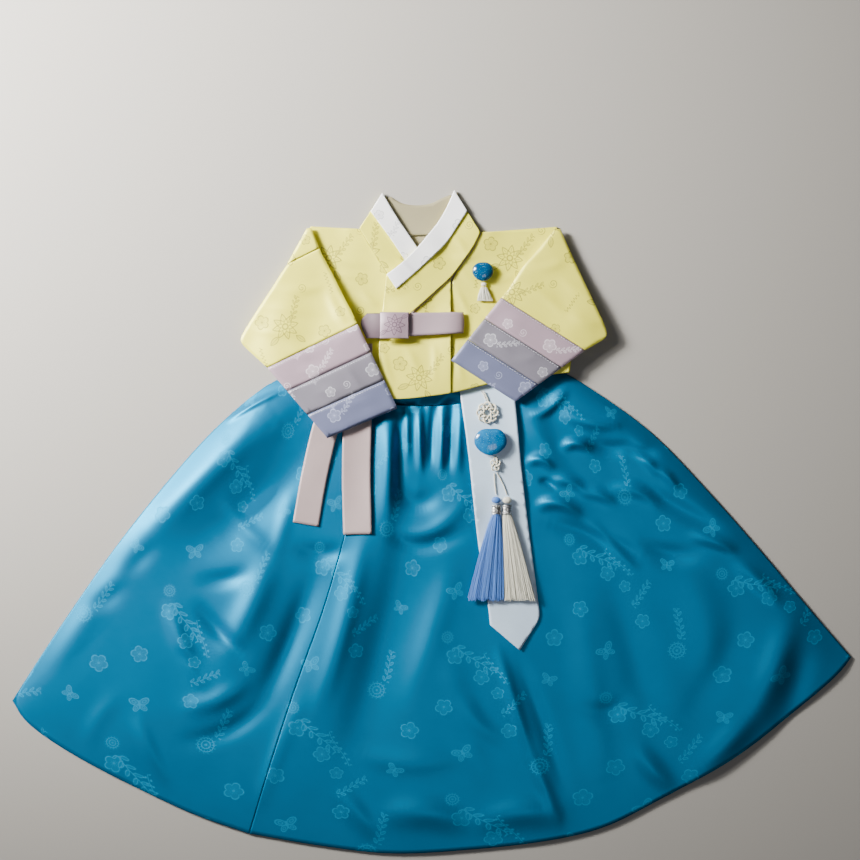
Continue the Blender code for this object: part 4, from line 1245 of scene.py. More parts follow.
@dataclass
class Relief:
    """Smoothed height of a few solids seen from above, with a rolled edge.

    It takes out the small steps between bands that are sewn edge to edge.
    """

    nodes: tuple[str, ...]
    step: float = 1.5 * MM
    blur: float = 7 * MM
    margin: int = 4
    edge_drop: float = 1.6 * MM

    def __post_init__(self) -> None:
        """Sample and smooth the height."""
        ground = Ground(frame["nodes"][n] for n in self.nodes)
        corners = np.array([[list(c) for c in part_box(n)] for n in self.nodes])
        self.low = corners[:, 0, :2].min(axis=0) - 6 * self.step
        high = corners[:, 1, :2].max(axis=0) + 6 * self.step
        self.shape = tuple(np.ceil((high - self.low) / self.step).astype(int) + 1)
        raw = np.full(self.shape, np.nan)
        for i in range(self.shape[0]):
            for j in range(self.shape[1]):
                found = ground.height(*(self.low + np.array([i, j]) * self.step))
                raw[i, j] = np.nan if found is None else found
        mask = np.isfinite(raw)
        inner = mask.copy()
        for _ in range(self.margin):
            around = [np.roll(inner, s, axis=a) for s in (-1, 1) for a in (0, 1)]
            inner = inner & np.logical_and.reduce(around)
        filled = np.where(inner, raw, 0.0)
        weight = self.blurred(inner.astype(float), self.blur) + 1e-9
        smooth = self.blurred(filled, self.blur) / weight
        cover = self.blurred(mask.astype(float), 1.4 * self.step)
        self.field = smooth - self.edge_drop * np.clip(2 * (1 - cover), 0, 1) ** 1.5

    def blurred(self, values: np.ndarray, reach: float) -> np.ndarray:
        """Gaussian blur over the raster.

        Args:
            values: The raster.
            reach: Standard deviation in metres.

        Returns:
            The blurred raster.
        """
        sigma = reach / self.step
        half = int(3 * sigma) + 1
        kernel = np.exp(-np.arange(-half, half + 1) ** 2 / (2 * sigma ** 2))
        kernel /= kernel.sum()
        for axis in (0, 1):
            values = np.apply_along_axis(np.convolve, axis, values, kernel, mode="same")
        return values

    def __call__(self, x: np.ndarray, y: np.ndarray) -> np.ndarray:
        """Height at places, in metres."""
        u = np.clip((x - self.low[0]) / self.step, 0, self.shape[0] - 1.001)
        v = np.clip((y - self.low[1]) / self.step, 0, self.shape[1] - 1.001)
        i, j = u.astype(int), v.astype(int)
        a, b = u - i, v - j
        f = self.field
        return ((1 - a) * (1 - b) * f[i, j] + a * (1 - b) * f[i + 1, j]
                + (1 - a) * b * f[i, j + 1] + a * b * f[i + 1, j + 1])


@dataclass
class ClothPiece:
    """Fine shell on a cloth solid.

    ``layers_around`` is two for a tube, whose cut goes all round it.  The tube goes round along the
    piece's longer side where ``round_long`` is set, as on a cuff band, and else its shorter side.
    """

    node: str
    finish: Finish
    slot: str
    grain: Callable[[np.ndarray], np.ndarray] = turned(0)
    levels: int = 2
    crease: HeightField | None = None
    held: str = "laid"
    rests_on: tuple[str, ...] = ()
    layers_around: int = 1
    round_long: bool = False
    top_only: bool = False
    crease_angle: float = 42.0
    relief: Relief | None = None
    floor: float = 0.0
    evening: int = 0

    TOP_NORMAL: ClassVar[float] = 0.25              # rise of a face that counts as upper
    SHARP_ANGLE: ClassVar[float] = math.radians(55)  # edges bent further stay sharp
    LIFT_DEPTH: ClassVar[float] = 3.0 * MM          # layers deeper than this are not lifted
    LIFT_FADE: ClassVar[float] = 0.8 * MM           # depth over which the lift dies away
    EDGE_TURN: ClassVar[float] = 1.1 * MM           # depth of a turned edge
    LEAST_AREA: ClassVar[float] = 0.301             # least share of its flat size counted as its area, in a sum that is not kept

    def build(self) -> bpy.types.Object:
        """Returns:
            The finished piece.
        """
        bm = node_mesh(self.node)
        if self.top_only:
            under = [f for f in bm.faces if f.normal.z < self.TOP_NORMAL]
            bmesh.ops.delete(bm, geom=under, context="FACES")
        layer = bm.edges.layers.float.get("crease_edge") or bm.edges.layers.float.new("crease_edge")
        for edge in bm.edges:
            if edge.is_boundary or edge.calc_face_angle(0.0) > math.radians(self.crease_angle):
                edge[layer] = 1.0
        name = self.node + "_cloth"
        obj = plain_object(name, from_bmesh(name, bm), self.finish)
        if self.evening:
            subdivide(obj, 1, "PRESERVE_CORNERS")
            self.even_out(obj)
        subdivide(obj, self.levels - (1 if self.evening else 0), "PRESERVE_CORNERS")
        self.fold(obj)
        if self.top_only:
            self.turn_edge(obj)
        write_uv(obj.data, self.grain)
        obj.data.shade_smooth()
        obj.data.set_sharp_from_angle(angle=self.SHARP_ANGLE)
        self.declare(obj)
        return obj

    def even_out(self, obj: bpy.types.Object) -> None:
        """Take the solid's facets out of the shell's height, away from its edge.

        Args:
            obj: The shell.
        """
        bm = bmesh.new()
        bm.from_mesh(obj.data)
        inside = [v for v in bm.verts if not v.is_boundary]
        for _ in range(self.evening):
            bmesh.ops.smooth_vert(bm, verts=inside, factor=0.5, use_axis_x=False,
                                  use_axis_y=False, use_axis_z=True)
        bm.to_mesh(obj.data)
        bm.free()

    def fold(self, obj: bpy.types.Object) -> None:
        """Lift the shell along its creases.

        Args:
            obj: The shell.
        """
        count = len(obj.data.vertices)
        points = np.empty(count * 3)
        obj.data.vertices.foreach_get("co", points)
        points = points.reshape(count, 3)
        lifted = np.ones(count)
        if self.relief is not None:
            own = Ground([obj])
            middle = points[:, :2].mean(axis=0)
            tops = np.array([self.own_top(own, p, middle) for p in points])
            depth = tops - points[:, 2]
            lifted = np.clip((self.LIFT_DEPTH - depth) / self.LIFT_FADE, 0, 1)
            target = self.relief(points[:, 0], points[:, 1]) - np.maximum(depth, 0)
            points[:, 2] += lifted * (target - points[:, 2])
        if self.crease is not None:
            points[:, 2] += lifted * self.crease(points[:, 0], points[:, 1])
        points[:, 2] = np.maximum(points[:, 2], self.floor)
        obj.data.vertices.foreach_set("co", points.ravel())
        obj.data.update()

    def own_top(self, own: Ground, point: np.ndarray, middle: np.ndarray) -> float:
        """Height of the shell's upper face over a point.

        Args:
            own: The shell.
            point: The point.
            middle: Middle of the shell, toward which a place on the outline is drawn in.

        Returns:
            The height.
        """
        inward = middle - point[:2]
        inward *= 0.3 * MM / max(np.linalg.norm(inward), MM)
        found = own.height(*(point[:2] + inward))
        return point[2] if found is None else found

    def turn_edge(self, obj: bpy.types.Object) -> None:
        """Turn the shell's open edge down by the thickness of the cloth.

        Args:
            obj: The shell.
        """
        bm = bmesh.new()
        bm.from_mesh(obj.data)
        rim = [e for e in bm.edges if e.is_boundary]
        grown = bmesh.ops.extrude_edge_only(bm, edges=rim)["geom"]
        moved = [v for v in grown if isinstance(v, bmesh.types.BMVert)]
        bmesh.ops.translate(bm, verts=moved, vec=(0, 0, -self.EDGE_TURN))
        bm.to_mesh(obj.data)
        bm.free()

    def declare(self, obj: bpy.types.Object) -> None:
        """Attach the shell to the body, hide the solid it stands for, and log its faces; the cut of
        its cloth is worked out but not kept.

        Args:
            obj: The shell.
        """
        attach(obj, BODY)
        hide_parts(self.node)
        mesh = obj.data
        surface = sum(p.area for p in mesh.polygons)
        points = np.array([v.co[:2] for v in mesh.vertices])
        points -= points.mean(axis=0)
        axes = np.linalg.eigh(points.T @ points)[1]
        spans = np.ptp(points @ axes, axis=0)
        width, length = spans
        if self.round_long:
            length *= self.layers_around
        else:
            width *= self.layers_around
        area = surface if self.top_only else surface / 2
        if area > width * length:
            width = area / length
        list(self.rests_on)
        max(area, self.LEAST_AREA * width * length)
        LOG.info("%s: %d faces", obj.name, len(mesh.polygons))


# ------------------------------------------------------------------ skirt
SKIRT_CREASES = (
    # pleats let into the waistband
    Crease(-13, 134, -14, 92, -12, 58, 4.5, 4.6),
    Crease(-27, 134, -28, 100, -27, 72, 4.0, 3.0),
    Crease(12, 134, 13, 96, 10, 56, 4.5, 4.3),
    Crease(32, 136, 34, 100, 30, 58, 5.0, 3.8),
    Crease(-48, 128, -49, 70, -51, 6, 8.5, 4.9),
    Crease(2, 132, 0, 98, -1, 66, 4.0, -3.2),
    Crease(-38, 130, -38, 84, -35, 30, 6.0, -4.3),
    Crease(22, 134, 22, 98, 20, 60, 4.0, -3.0),
    # crescent below them
    Crease(-34, 40, -22, 6, 6, 34, 12.0, -5.2),
    Crease(-30, -14, 4, -20, 38, 22, 9.0, 3.3),
    Crease(-46, -10, -18, -44, 44, -8, 9.0, -3.6),
    # rolled edge of the wearer's right, and the slack inside it
    Crease(-178, 126, -248, 68, -332, -22, 15.0, 4.5),
    Crease(-338, -38, -388, -96, -436, -170, 12.0, 1.8),
    Crease(-140, 92, -186, 12, -286, -34, 24.0, -4.5),
    Crease(-318, -28, -334, -42, -348, -58, 10.0, -2.4),
    Crease(-358, -76, -372, -90, -388, -98, 10.0, -2.7),
    Crease(-172, 150, -204, 136, -232, 117, 3.2, 3.0),
    # humps and hooks of the right panel
    Crease(-262, -66, -238, -70, -214, -58, 9.0, -3.9),
    Crease(-266, -98, -246, -126, -216, -152, 8.5, -6.0),
    Crease(-300, -100, -284, -150, -262, -186, 9.0, 5.4),
    Crease(-288, -148, -272, -162, -262, -176, 5.0, -3.0),
    Crease(-186, -46, -206, -104, -236, -150, 15.0, 5.0),
    Crease(-216, -186, -242, -208, -280, -212, 11.0, 4.0),
    Crease(-134, -58, -160, -140, -194, -208, 13.0, -4.5),
    Crease(-194, -208, -224, -248, -284, -252, 10.0, -3.6),
    Crease(-336, -226, -326, -262, -304, -296, 9.0, 3.6),
    Crease(-360, -200, -384, -222, -392, -250, 11.0, 1.5),
    Crease(-236, 18, -214, -12, -186, -30, 9.0, 3.0),
    Crease(-160, 34, -170, -6, -180, -44, 9.0, 2.0),
    Crease(-150, -30, -126, -42, -104, -32, 10.0, -4.5),
    # ridge that carries the seam, and the long slack beside it
    Crease(-76, -14, -96, -116, -130, -216, 11.0, 3.6),
    Crease(-150, -206, -176, -262, -196, -322, 10.0, 2.4),
    Crease(-30, -40, -58, -150, -92, -270, 24.0, -3.9),
    # middle of the front
    Crease(24, -50, 4, -120, -24, -210, 15.0, 3.0),
    Crease(-84, -262, -40, -286, 34, -268, 12.0, 2.8),
    Crease(40, -206, 52, -236, 78, -248, 10.0, 2.8),
    # below the sash
    Crease(76, -148, 94, -206, 112, -262, 7.0, 4.2),
    Crease(112, -262, 128, -300, 146, -344, 7.0, 3.0),
    Crease(100, -160, 128, -230, 152, -304, 9.0, -2.7),
    # puckers beside the sash and along the wearer's left edge
    Crease(112, 68, 124, 78, 138, 62, 5.5, 6.1),
    Crease(152, 86, 166, 96, 180, 84, 6.0, 6.4),
    Crease(124, 18, 142, 30, 168, 10, 6.5, 6.9),
    Crease(140, 46, 158, 54, 176, 34, 6.0, 4.5),
    Crease(116, 122, 136, 126, 152, 150, 6.0, 5.2),
    Crease(150, 124, 182, 110, 214, 112, 7.5, 5.2),
    Crease(186, 92, 206, 78, 226, 88, 9.0, -5.2),
    Crease(226, 84, 240, 74, 254, 80, 8.0, -4.5),
    Crease(176, 34, 190, 36, 206, 24, 7.0, 4.5),
    Crease(232, 76, 248, 74, 256, 58, 5.5, 4.8),
    Crease(258, 60, 270, 56, 280, 40, 5.5, 4.5),
    Crease(206, 36, 232, 44, 258, 22, 7.5, 4.5),
    Crease(300, -16, 326, -20, 346, -32, 7.0, 5.2),
    Crease(126, 46, 132, 48, 142, 40, 4.0, -4.1),
    Crease(134, 0, 186, -14, 240, -40, 9.0, -4.5),
    Crease(244, 40, 290, 10, 330, -8, 10.0, -4.5),
    Crease(246, -28, 274, -42, 302, -38, 12.0, -5.2),
    Crease(182, -4, 206, -24, 232, -52, 6.5, 3.6),
    Crease(352, -48, 376, -66, 396, -90, 8.0, 4.5),
    # broad roll near the wearer's left point, and the hem
    Crease(412, -110, 394, -166, 372, -214, 16.0, 6.0),
    Crease(372, -214, 342, -250, 304, -288, 15.0, 6.0),
    Crease(426, -150, 422, -188, 398, -234, 15.0, -2.7),
    Crease(350, -124, 330, -176, 294, -228, 20.0, -3.2),
    Crease(176, -214, 200, -226, 222, -206, 12.0, -3.6),
    Crease(294, -54, 326, -118, 318, -184, 22.0, 3.2),
    Crease(206, -66, 236, -150, 252, -240, 20.0, -3.2),
    Crease(168, -96, 182, -176, 196, -300, 18.0, 3.0),
    Crease(20, -160, 34, -230, 62, -300, 16.0, 2.6),
    Crease(-52, -336, -6, -326, 34, -344, 15.0, 6.0),
    Crease(56, -344, 98, -326, 142, -336, 15.0, 6.0),
    Crease(238, -262, 252, -286, 272, -300, 11.0, 4.6),
    Crease(-104, -312, -84, -334, -66, -356, 11.0, 4.4),
)


class Skirt:
    """Skirt with its waistband and the white sash that lies on it."""

    FRONT_FLOOR = 1.7 * MM  # the front panels stay above the back one

    def build(self) -> None:
        """Make every piece of the skirt."""
        creases = crease_field(SKIRT_CREASES)
        ClothPiece("skirt_back", Finish.TURQUOISE, "turquoise_satin", fanned, levels=0).build()
        for node in ("skirt_front_right", "skirt_front_main"):
            ClothPiece(node, Finish.TURQUOISE, "turquoise_satin", fanned, levels=3,
                       crease=creases, floor=self.FRONT_FLOOR, evening=14, held="gathered",
                       rests_on=("skirt_back_cloth",), top_only=True, crease_angle=70.0).build()
        for node in ("waistband_back", "waistband_front"):
            ClothPiece(node, Finish.TURQUOISE, "turquoise_satin", turned(0)).build()
        ClothPiece("sash", Finish.SASH, "white_satin", turned(-8),
                   rests_on=("skirt_front_main_cloth",)).build()


# ------------------------------------------------------------------ jacket
JACKET_CREASES = (
    Crease(-116, 303, -96, 300, -76, 292, 5.0, 1.1),
    Crease(-112, 286, -92, 284, -78, 276, 4.0, 0.9),
    Crease(-80, 262, -70, 252, -60, 250, 4.5, 1.2),
    Crease(-104, 262, -92, 254, -84, 246, 5.0, 0.8),
    Crease(-60, 268, -40, 262, -26, 270, 4.5, 0.8),
    Crease(26, 304, 40, 300, 50, 306, 4.5, 0.9),
    Crease(30, 286, 44, 282, 52, 270, 4.0, 0.9),
    Crease(26, 270, 36, 254, 44, 234, 4.0, 0.9),
    Crease(72, 282, 86, 276, 98, 284, 4.5, 1.0),
    Crease(52, 248, 66, 244, 78, 232, 4.5, 0.9),
    Crease(98, 310, 112, 300, 118, 286, 5.0, 0.9),
    Crease(-56, 198, -54, 176, -46, 158, 5.0, 1.0),
    Crease(-30, 200, -20, 186, -14, 168, 5.0, 0.7),
    Crease(2, 204, 6, 184, 2, 162, 4.5, 0.8),
    Crease(28, 206, 32, 184, 34, 160, 4.5, 0.9),
    Crease(-44, 306, -28, 292, -16, 280, 3.5, 0.7),
    Crease(22, 330, 34, 322, 40, 306, 4.0, 0.7),
    Crease(-48, 318, -42, 292, -38, 266, 20.0, 2.0),
    Crease(-40, 160, 0, 153, 30, 153, 16.0, 2.0),
)
SLEEVE_CREASES = {
    "right": (
        Crease(-176, 268, -150, 262, -126, 270, 6.0, 1.2),
        Crease(-190, 246, -162, 246, -132, 236, 5.5, 1.0),
        Crease(-204, 222, -176, 214, -150, 218, 6.0, 1.2),
        Crease(-118, 262, -112, 244, -98, 226, 5.5, 1.3),
        Crease(-160, 200, -148, 190, -128, 188, 5.5, 1.0),
        Crease(-150, 172, -128, 176, -104, 186, 5.0, 1.0),
        Crease(-132, 148, -116, 152, -98, 150, 4.5, 0.9),
        Crease(-104, 128, -84, 138, -64, 142, 4.5, 0.9),
        Crease(-100, 176, -88, 166, -80, 152, 4.5, 0.8),
        Crease(-112, 318, -96, 280, -84, 238, 30.0, 3.5),
    ),
    "left": (
        Crease(116, 292, 134, 288, 150, 298, 5.5, 1.1),
        Crease(150, 276, 166, 262, 186, 256, 6.0, 1.2),
        Crease(112, 266, 134, 258, 150, 240, 6.0, 1.1),
        Crease(160, 236, 176, 226, 192, 226, 5.5, 1.1),
        Crease(76, 232, 92, 230, 106, 220, 4.5, 1.0),
        Crease(60, 210, 78, 206, 92, 192, 4.5, 1.0),
        Crease(44, 186, 60, 180, 78, 168, 4.5, 0.9),
        Crease(96, 188, 108, 184, 124, 190, 4.5, 0.9),
        Crease(132, 322, 112, 288, 94, 254, 30.0, 3.5),
    ),
}


@dataclass
class Jacket:
    """Body of the jacket with its collars, sleeves and cuffs."""

    sleeve_turn: dict[str, float] = field(default_factory=lambda: {"right": 26.0, "left": -30.0})

    PATTERN_SHIFT_MM: ClassVar[tuple[float, float]] = (-38, 17)  # sets the lotus low on the front

    def build(self) -> None:
        """Make every piece of the jacket."""
        self.build_body()
        for side, turn in self.sleeve_turn.items():
            self.build_arm(side, turn)

    def build_body(self) -> None:
        """Make the back, the fronts and the collars."""
        yellow = (Finish.YELLOW, "yellow_satin")
        white = (Finish.STRIP, "white_satin")
        wrinkles = crease_field(JACKET_CREASES)
        # the back and the back collar take the lining in painted shade
        ClothPiece("jacket_back", Finish.LINING, "yellow_satin").build()
        ClothPiece("collar_back", Finish.LINING, "pale_lining").build()
        for node, (finish, slot), grain, below in (
                ("front_inner", yellow, 0, "jacket_back"),
                ("front_outer", yellow, 0, "jacket_back"),
                ("front_overlap", yellow, 0, "front_inner"),
                ("collar_inner", yellow, 30, "front_inner"),
                ("collar_outer", yellow, -40, "front_outer"),
                ("collar_strip_inner", white, 30, "collar_inner"),
                ("collar_strip_outer", white, -40, "collar_outer")):
            ClothPiece(node, finish, slot, turned(grain, self.PATTERN_SHIFT_MM), levels=3,
                       crease=wrinkles, rests_on=(below + "_cloth",)).build()

    def build_arm(self, side: str, turn: float) -> None:
        """Make one turned sleeve with its cuff bands.

        Args:
            side: The wearer's side.
            turn: Turn of the sleeve's grain, in degrees.
        """
        yellow = (Finish.YELLOW, "yellow_satin")
        ClothPiece("sleeve_root_" + side, *yellow, held="folded").build()
        tubes = [("sleeve_" + side, *yellow)]
        if side == "right":
            tubes.append(("shoulder_turn_right", *yellow))
        tubes += [("cuff_rose_" + side, Finish.ROSE, "rose_satin"),
                  ("cuff_lilac_" + side, Finish.LILAC, "lilac_gauze"),
                  ("cuff_periwinkle_" + side, Finish.PERIWINKLE, "periwinkle_satin")]
        relief = Relief(tuple(node for node, _, _ in tubes))
        wrinkles = crease_field(SLEEVE_CREASES[side])

        for node, finish, slot in tubes:
            ClothPiece(node, finish, slot, turned(turn), levels=3, held="folded",
                       layers_around=2, round_long=node.startswith("cuff_"), crease_angle=50.0,
                       relief=relief, crease=wrinkles).build()


class RibbonTie:
    """Ribbon tie: half bow and two tails."""

    FLOWER_SHIFT_MM = (72.2, -195.5)  # sets the flower in the middle of the knot

    def build(self) -> None:
        """Make every piece of the tie."""
        for side in ("left", "right"):
            ClothPiece("ribbon_tail_" + side, Finish.TAIL, "ribbon_satin", turned(90),
                       rests_on=("skirt_front_main_cloth",)).build()
        # the turned-in end takes the ribbon satin in painted shade
        ClothPiece("ribbon_fold", Finish.FOLD, "ribbon_satin", held="folded").build()
        ClothPiece("ribbon_loop", Finish.RIBBON, "ribbon_satin", held="folded",
                   layers_around=2, round_long=True, crease_angle=65.0).build()
        ClothPiece("ribbon_knot", Finish.KNOT, "ribbon_satin", turned(0, self.FLOWER_SHIFT_MM),
                   held="folded").build()


def dressed(obj: bpy.types.Object, slot: str, *nodes: str) -> bpy.types.Object:
    """Attach a finished piece that isn't cloth to the body, and hide the solids it stands for.

    Args:
        obj: The piece.
        slot: Not used.
        nodes: Solids it stands for.

    Returns:
        The piece.
    """
    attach(obj, BODY)
    if nodes:
        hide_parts(*nodes)
    return obj


def softened(node: str, finish: Finish, slot: str) -> bpy.types.Object:
    """Rounded copy of a small solid.

    Args:
        node: Name of the solid.
        finish: Its finish.
        slot: Not used.

    Returns:
        The copy.
    """
    name = node + "_fine"
    obj = plain_object(name, from_bmesh(name, node_mesh(node)), finish)
    subdivide(obj, 2)
    obj.data.shade_smooth()
    return dressed(obj, slot, node)


@dataclass
class Tassel:
    """Tassel of fine rayon threads."""

    node: str
    finish: Finish
    slot: str
    top_width: float
    bottom: tuple[float, float]
    count: int = 240
    strand_radius: float = 0.42 * MM
    seed: int = 1

    NECK_LENGTH: ClassVar[float] = 1.0 * MM     # end of the solid that counts as its neck
    TOP_DEPTH: ClassVar[float] = 0.8            # share of the solid's depth at the neck
    BOTTOM_DEPTH: ClassVar[float] = 0.62        # and at the strands' ends

    def build(self) -> bpy.types.Object:
        """Make the tassel.

        Returns:
            The finished tassel.
        """
        low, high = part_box(self.node)
        neck = self.neck()
        length = high.y - low.y
        middle = (self.bottom[0] + self.bottom[1]) / 2
        depth = high.z - low.z
        obj = grown(self.node + "_threads", strand_tree(), self.finish, {
            "Count": self.count, "Seed": self.seed,
            "Place": (neck, high.y, (low.z + high.z) / 2), "Length": length,
            "Top width": self.top_width, "Bottom width": self.bottom[1] - self.bottom[0],
            "Lean": middle - neck, "Top depth": self.TOP_DEPTH * depth,
            "Bottom depth": self.BOTTOM_DEPTH * depth,
            "Strand radius": self.strand_radius, "Material": self.finish.material()})
        return dressed(obj, self.slot, self.node)

    def neck(self) -> float:
        """Middle of the solid's upper end.

        Returns:
            Its place across, in metres.
        """
        points = np.array([v.co for v in frame["nodes"][self.node].data.vertices])
        upper = points[points[:, 1] > points[:, 1].max() - self.NECK_LENGTH]
        return float((upper[:, 0].min() + upper[:, 0].max()) / 2)


def knotted_ring(name: str, node: str, lobes: int, turns: int, depth: float, radius: float,
                 slot: str) -> bpy.types.Object:
    """Flat knot woven from one cord that passes over and under itself.

    Args:
        name: Name of the object.
        node: Solid it stands for, whose outline it fills.
        lobes: Loops round its edge.
        turns: Times the cord goes round.
        depth: Share of the outline's radius between the loops' tips and the inner bends.
        radius: Radius of the cord.
        slot: Not used.

    Returns:
        The knot.
    """
    low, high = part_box(node)
    middle = (low + high) / 2
    t = np.linspace(0, 2 * math.pi * turns, 60 * lobes, endpoint=False)
    reach = 1 - depth / 2 + depth / 2 * np.cos(lobes * t / turns)
    half_x, half_y = (high.x - low.x) / 2 - radius * 0.6, (high.y - low.y) / 2 - radius * 0.6
    weave = 0.85 * radius * np.sin((turns - 1) * lobes * t / turns)
    path = np.column_stack([middle.x + half_x * reach * np.sin(t),
                            middle.y + half_y * reach * np.cos(t),
                            middle.z + weave])
    return dressed(sweep(name, path, radius, Finish.IVORY_CORD, closed=True), slot, node)


def ribbed_cap(name: str, node: str, finish: Finish, slot: str) -> bpy.types.Object:
    """Short metal sleeve with turned ribs, flattened where it lies.

    Args:
        name: Name of the object.
        node: Solid it stands for.
        finish: Its finish.
        slot: Not used.

    Returns:
        The sleeve.
    """
    low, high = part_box(node)
    middle = (low + high) / 2
    half = (high.x - low.x) / 2
    profile = ((0.0, 0.60), (0.01, 0.88), (0.08, 0.97), (0.17, 0.97), (0.22, 0.86), (0.30, 0.84),
               (0.36, 0.93), (0.44, 0.93), (0.50, 0.84), (0.60, 0.86), (0.66, 0.97), (0.76, 1.0),
               (0.82, 0.92), (0.90, 0.96), (0.98, 1.0), (1.0, 0.94), (1.0, 0.70))
    around = 28
    points, faces = [], []
    for share, size in profile:
        for k in range(around):
            turn = 2 * math.pi * k / around
            points.append((middle.x + half * size * math.cos(turn),
                           high.y + (low.y - high.y) * share,
                           middle.z + (high.z - low.z) / 2 * size * math.sin(turn)))
    for i in range(len(profile) - 1):
        for k in range(around):
            j = (k + 1) % around
            faces.append((i * around + k, i * around + j, (i + 1) * around + j,
                          (i + 1) * around + k))
    faces.append(tuple(range(around))[::-1])
    faces.append(tuple(range(len(points) - around, len(points))))
    mesh = bpy.data.meshes.new(name)
    mesh.from_pydata(points, [], faces)
    mesh.shade_smooth()
    obj = plain_object(name, mesh, finish)
    mesh.set_sharp_from_angle(angle=math.radians(50))
    return dressed(obj, slot, node)


class Pendant:
    """Norigae: knotted rosette, glass bead, lower knot and two tassels under silver sleeves."""

    def build(self) -> None:
        """Make every piece of the pendant."""
        for node in ("pendant_cord_right", "pendant_cord_left", "pendant_string_blue",
                     "pendant_string_ivory"):
            softened(node, Finish.IVORY_CORD, "ivory_cord")
        knotted_ring("rosette_cord", "pendant_rosette", 8, 3, 0.66, 1.15 * MM, "ivory_cord")
        knotted_ring("lower_knot_cord", "pendant_lower_knot", 5, 2, 0.74, 0.95 * MM, "ivory_cord")
        softened("pendant_bead", Finish.GLASS, "blue_glass")
        softened("pendant_knob_blue", Finish.BLUE_THREAD, "periwinkle_thread")
        softened("pendant_knob_ivory", Finish.IVORY_THREAD, "ivory_thread")
        for side in ("blue", "ivory"):
            ribbed_cap("silver_sleeve_" + side, "pendant_sleeve_" + side, Finish.SILVER, "silver")
        Tassel("tassel_blue", Finish.BLUE_THREAD, "periwinkle_thread", 9.5 * MM,
               (41.5 * MM, 84.0 * MM), seed=4).build()
        Tassel("tassel_ivory", Finish.IVORY_THREAD, "ivory_thread", 9.5 * MM,
               (83.0 * MM, 119.0 * MM), seed=9).build()


class Brooch:
    """Small glass brooch with a knob and a short tassel."""

    def build(self) -> None:
        """Make every piece of the brooch."""
        softened("brooch_bead", Finish.DEEP_GLASS, "blue_glass")
        softened("brooch_knob", Finish.IVORY_CORD, "ivory_cord")
        Tassel("brooch_tassel", Finish.IVORY_THREAD, "ivory_thread", 5.5 * MM,
               (52.5 * MM, 70.0 * MM), count=120, strand_radius=0.4 * MM, seed=2).build()


class Trim:
    """Piping of the outer collar, and the stitches of the cuffs."""

    PIPING_MM = ((56.8, 332.0), (48.8, 315.0), (39.4, 302.4), (31.2, 290.6), (22.9, 280.0),
                 (7.4, 266.4), (-8.0, 252.0), (-25.0, 237.6))
    SEAMS_MM = {"right": ((-187.5, 177.2), (-84.4, 227.2), (-118.7, 96.8), (-38.6, 130.8)),
                "left": ((175.6, 197.2), (80.1, 258.0), (95.8, 138.3), (22.3, 185.5))}

    PIPING_RADIUS = 0.6 * MM
    STITCH_SHARES = (0.030, 0.363, 0.696)   # places of the rows between the cuff's two ends
    STITCH_ENDS = (0.03, 0.97)              # a row stops short of both edges

    def build(self) -> None:
        """Make the trim."""
        ground = Ground(o for o in bpy.data.objects
                        if o.type == "MESH" and o.name.endswith("_cloth"))
        self.build_piping(ground)
        for side, corners in self.SEAMS_MM.items():
            self.build_cuff_stitches(ground, side, np.array(corners) * MM)

    def laid(self, ground: Ground, path: np.ndarray, clearance: float) -> np.ndarray:
        """Lay a path on the cloth and even out its height.

        Args:
            ground: The cloth.
            path: Places along the path.
            clearance: Height of the path over the cloth.

        Returns:
            Points along the path.
        """
        heights = np.array([ground.height(*p) or 0.0 for p in path])
        wide = np.pad(heights, 3, mode="edge")
        even = np.convolve(wide, np.ones(7) / 7, mode="valid")
        return np.column_stack([path, np.maximum(even, heights) + clearance])

    def build_piping(self, ground: Ground) -> None:
        """Make the thin cord along the outer collar's lower edge."""
        table = np.array(self.PIPING_MM) * MM
        share = np.linspace(0, 1, len(table))
        fine = np.linspace(0, 1, 90)
        path = np.column_stack([np.interp(fine, share, table[:, k]) for k in (0, 1)])
        dressed(sweep("collar_piping", self.laid(ground, path, self.PIPING_RADIUS / 2),
                      self.PIPING_RADIUS, Finish.PIPING), "ribbon_satin")

    def build_cuff_stitches(self, ground: Ground, side: str, corners: np.ndarray) -> None:
        """Make the rows of stitches beside the seams between a cuff's bands.

        Args:
            side: The wearer's side.
            corners: Outer and inner corner of the sleeve's end, then of the cuff's end.
        """
        outer, inner, outer_end, inner_end = corners
        for number, share in enumerate(self.STITCH_SHARES):
            first = outer + (outer_end - outer) * share
            last = inner + (inner_end - inner) * share
            path = first + (last - first) * np.linspace(*self.STITCH_ENDS, 60)[:, None]
            points = self.laid(ground, path, 0.05 * MM)
            mesh = bpy.data.meshes.new("stitch line")
            mesh.from_pydata(points.tolist(), [(i, i + 1) for i in range(len(points) - 1)], [])
            guide = linked("stitch line", mesh)
            obj = grown(f"cuff_stitches_{side}_{number}", stitch_tree(), Finish.WHITE,
                        {"Line": guide, "Material": Finish.WHITE.material()})
            bpy.data.objects.remove(guide)
            dressed(obj, "white_satin")


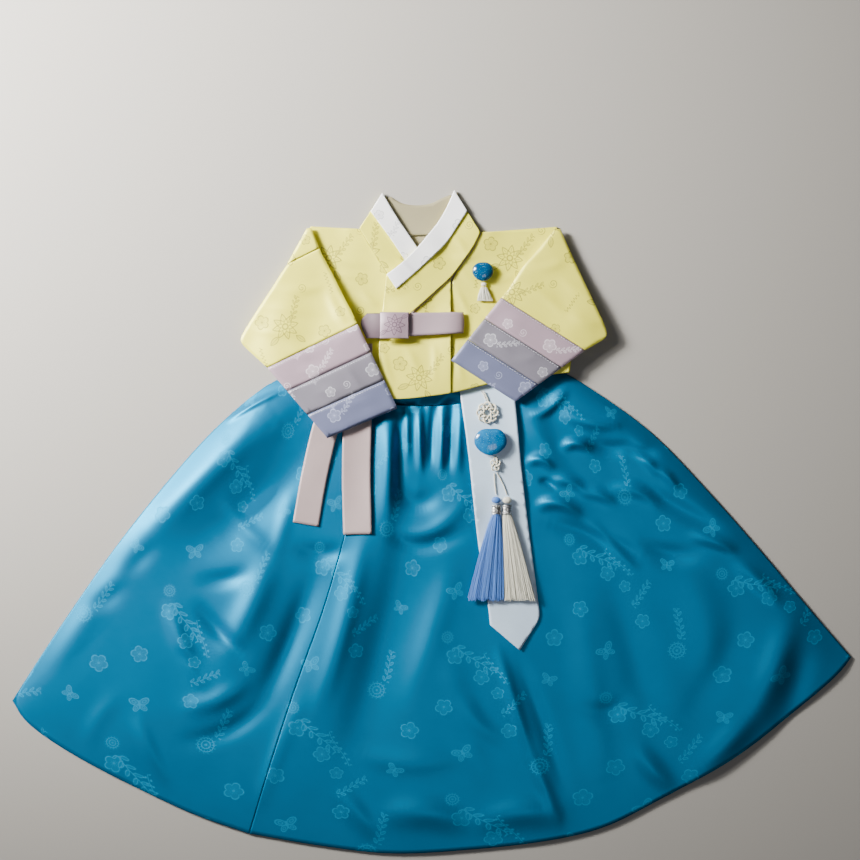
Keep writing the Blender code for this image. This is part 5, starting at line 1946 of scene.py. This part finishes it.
# ------------------------------------------------------------------ studio
@dataclass
class Studio:
    """Floor, lights and camera."""

    view_width: float = 0.989
    view_centre: tuple[float, float] = (-0.0017, 0.1055)
    lens_mm: float = 85.0
    floor_colour: str = "#A6A29C"   # a mid tone, which the lights bring up to pale
    floor_half_width: float = 7.0
    floor_drop: float = 0.2 * MM
    room_strength: float = 0.052

    def build(self) -> None:
        """Make the studio."""
        self.build_floor()
        self.build_lights()
        self.build_camera()

    def build_floor(self) -> None:
        """Lay a plain floor just below the garment."""
        bm = bmesh.new()
        bmesh.ops.create_grid(bm, x_segments=1, y_segments=1, size=self.floor_half_width)
        bmesh.ops.translate(bm, verts=bm.verts, vec=(0, 0, -self.floor_drop))
        mesh = bpy.data.meshes.new("floor")
        bm.to_mesh(mesh)
        bm.free()
        floor = linked("floor", mesh)
        # dull all over, so that the lights leave no reflection on it
        material, tree, shader = start_material("Matt paper backdrop")
        connect(tree, shader, {"Base Color": linear(self.floor_colour), "Roughness": 0.9})
        mesh.materials.append(material)

    def build_lights(self) -> None:
        """Hang two soft window lights at the upper left and a dim light over the front."""
        for name, place, target, size, spread, power, colour in (
                ("window light", (-2.05, 1.17, 1.16), (-1.05, 0.81, 0), 0.7, 60, 80.0, "#FFFDF8"),
                ("upper window light", (-1.6, 1.05, 1.55), (0.05, 0, 0), 0.6, 180, 34.0,
                 "#FFFEFA"),
                ("room light", (0.35, -0.85, 2.6), (0, 0, 0), 1.0, 180, 8.0, "#F4F6FF")):
            lamp = bpy.data.lights.new(name, "AREA")
            lamp.shape = "SQUARE"
            lamp.size = size
            lamp.energy = power
            lamp.color = linear(colour)[:3]
            lamp.spread = math.radians(spread)
            obj = linked(name, lamp)
            obj.location = place
            aim = Vector(target) - Vector(place)
            obj.rotation_euler = aim.to_track_quat("-Z", "Y").to_euler()
        world = bpy.data.worlds.new("soft room")
        world.use_nodes = True
        connect(world.node_tree, world.node_tree.nodes["Background"],
                {"Color": linear("#F2F2F0"), "Strength": self.room_strength})
        bpy.context.scene.world = world

    def build_camera(self) -> None:
        """Point a long lens straight down at the garment."""
        camera = bpy.data.cameras.new("camera")
        camera.lens = self.lens_mm
        height = self.view_width * self.lens_mm / camera.sensor_width
        obj = linked("camera", camera)
        obj.location = (*self.view_centre, height)
        bpy.context.scene.camera = obj


def main() -> None:
    """Build the garment and its studio."""
    logging.basicConfig(level=logging.INFO, format="%(name)s: %(message)s")
    Studio().build()
    for part in (Skirt(), Jacket(), RibbonTie(), Pendant(), Brooch(), Trim()):
        LOG.info("building %s", type(part).__name__)
        part.build()


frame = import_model()
if __name__ == "__main__":
    main()
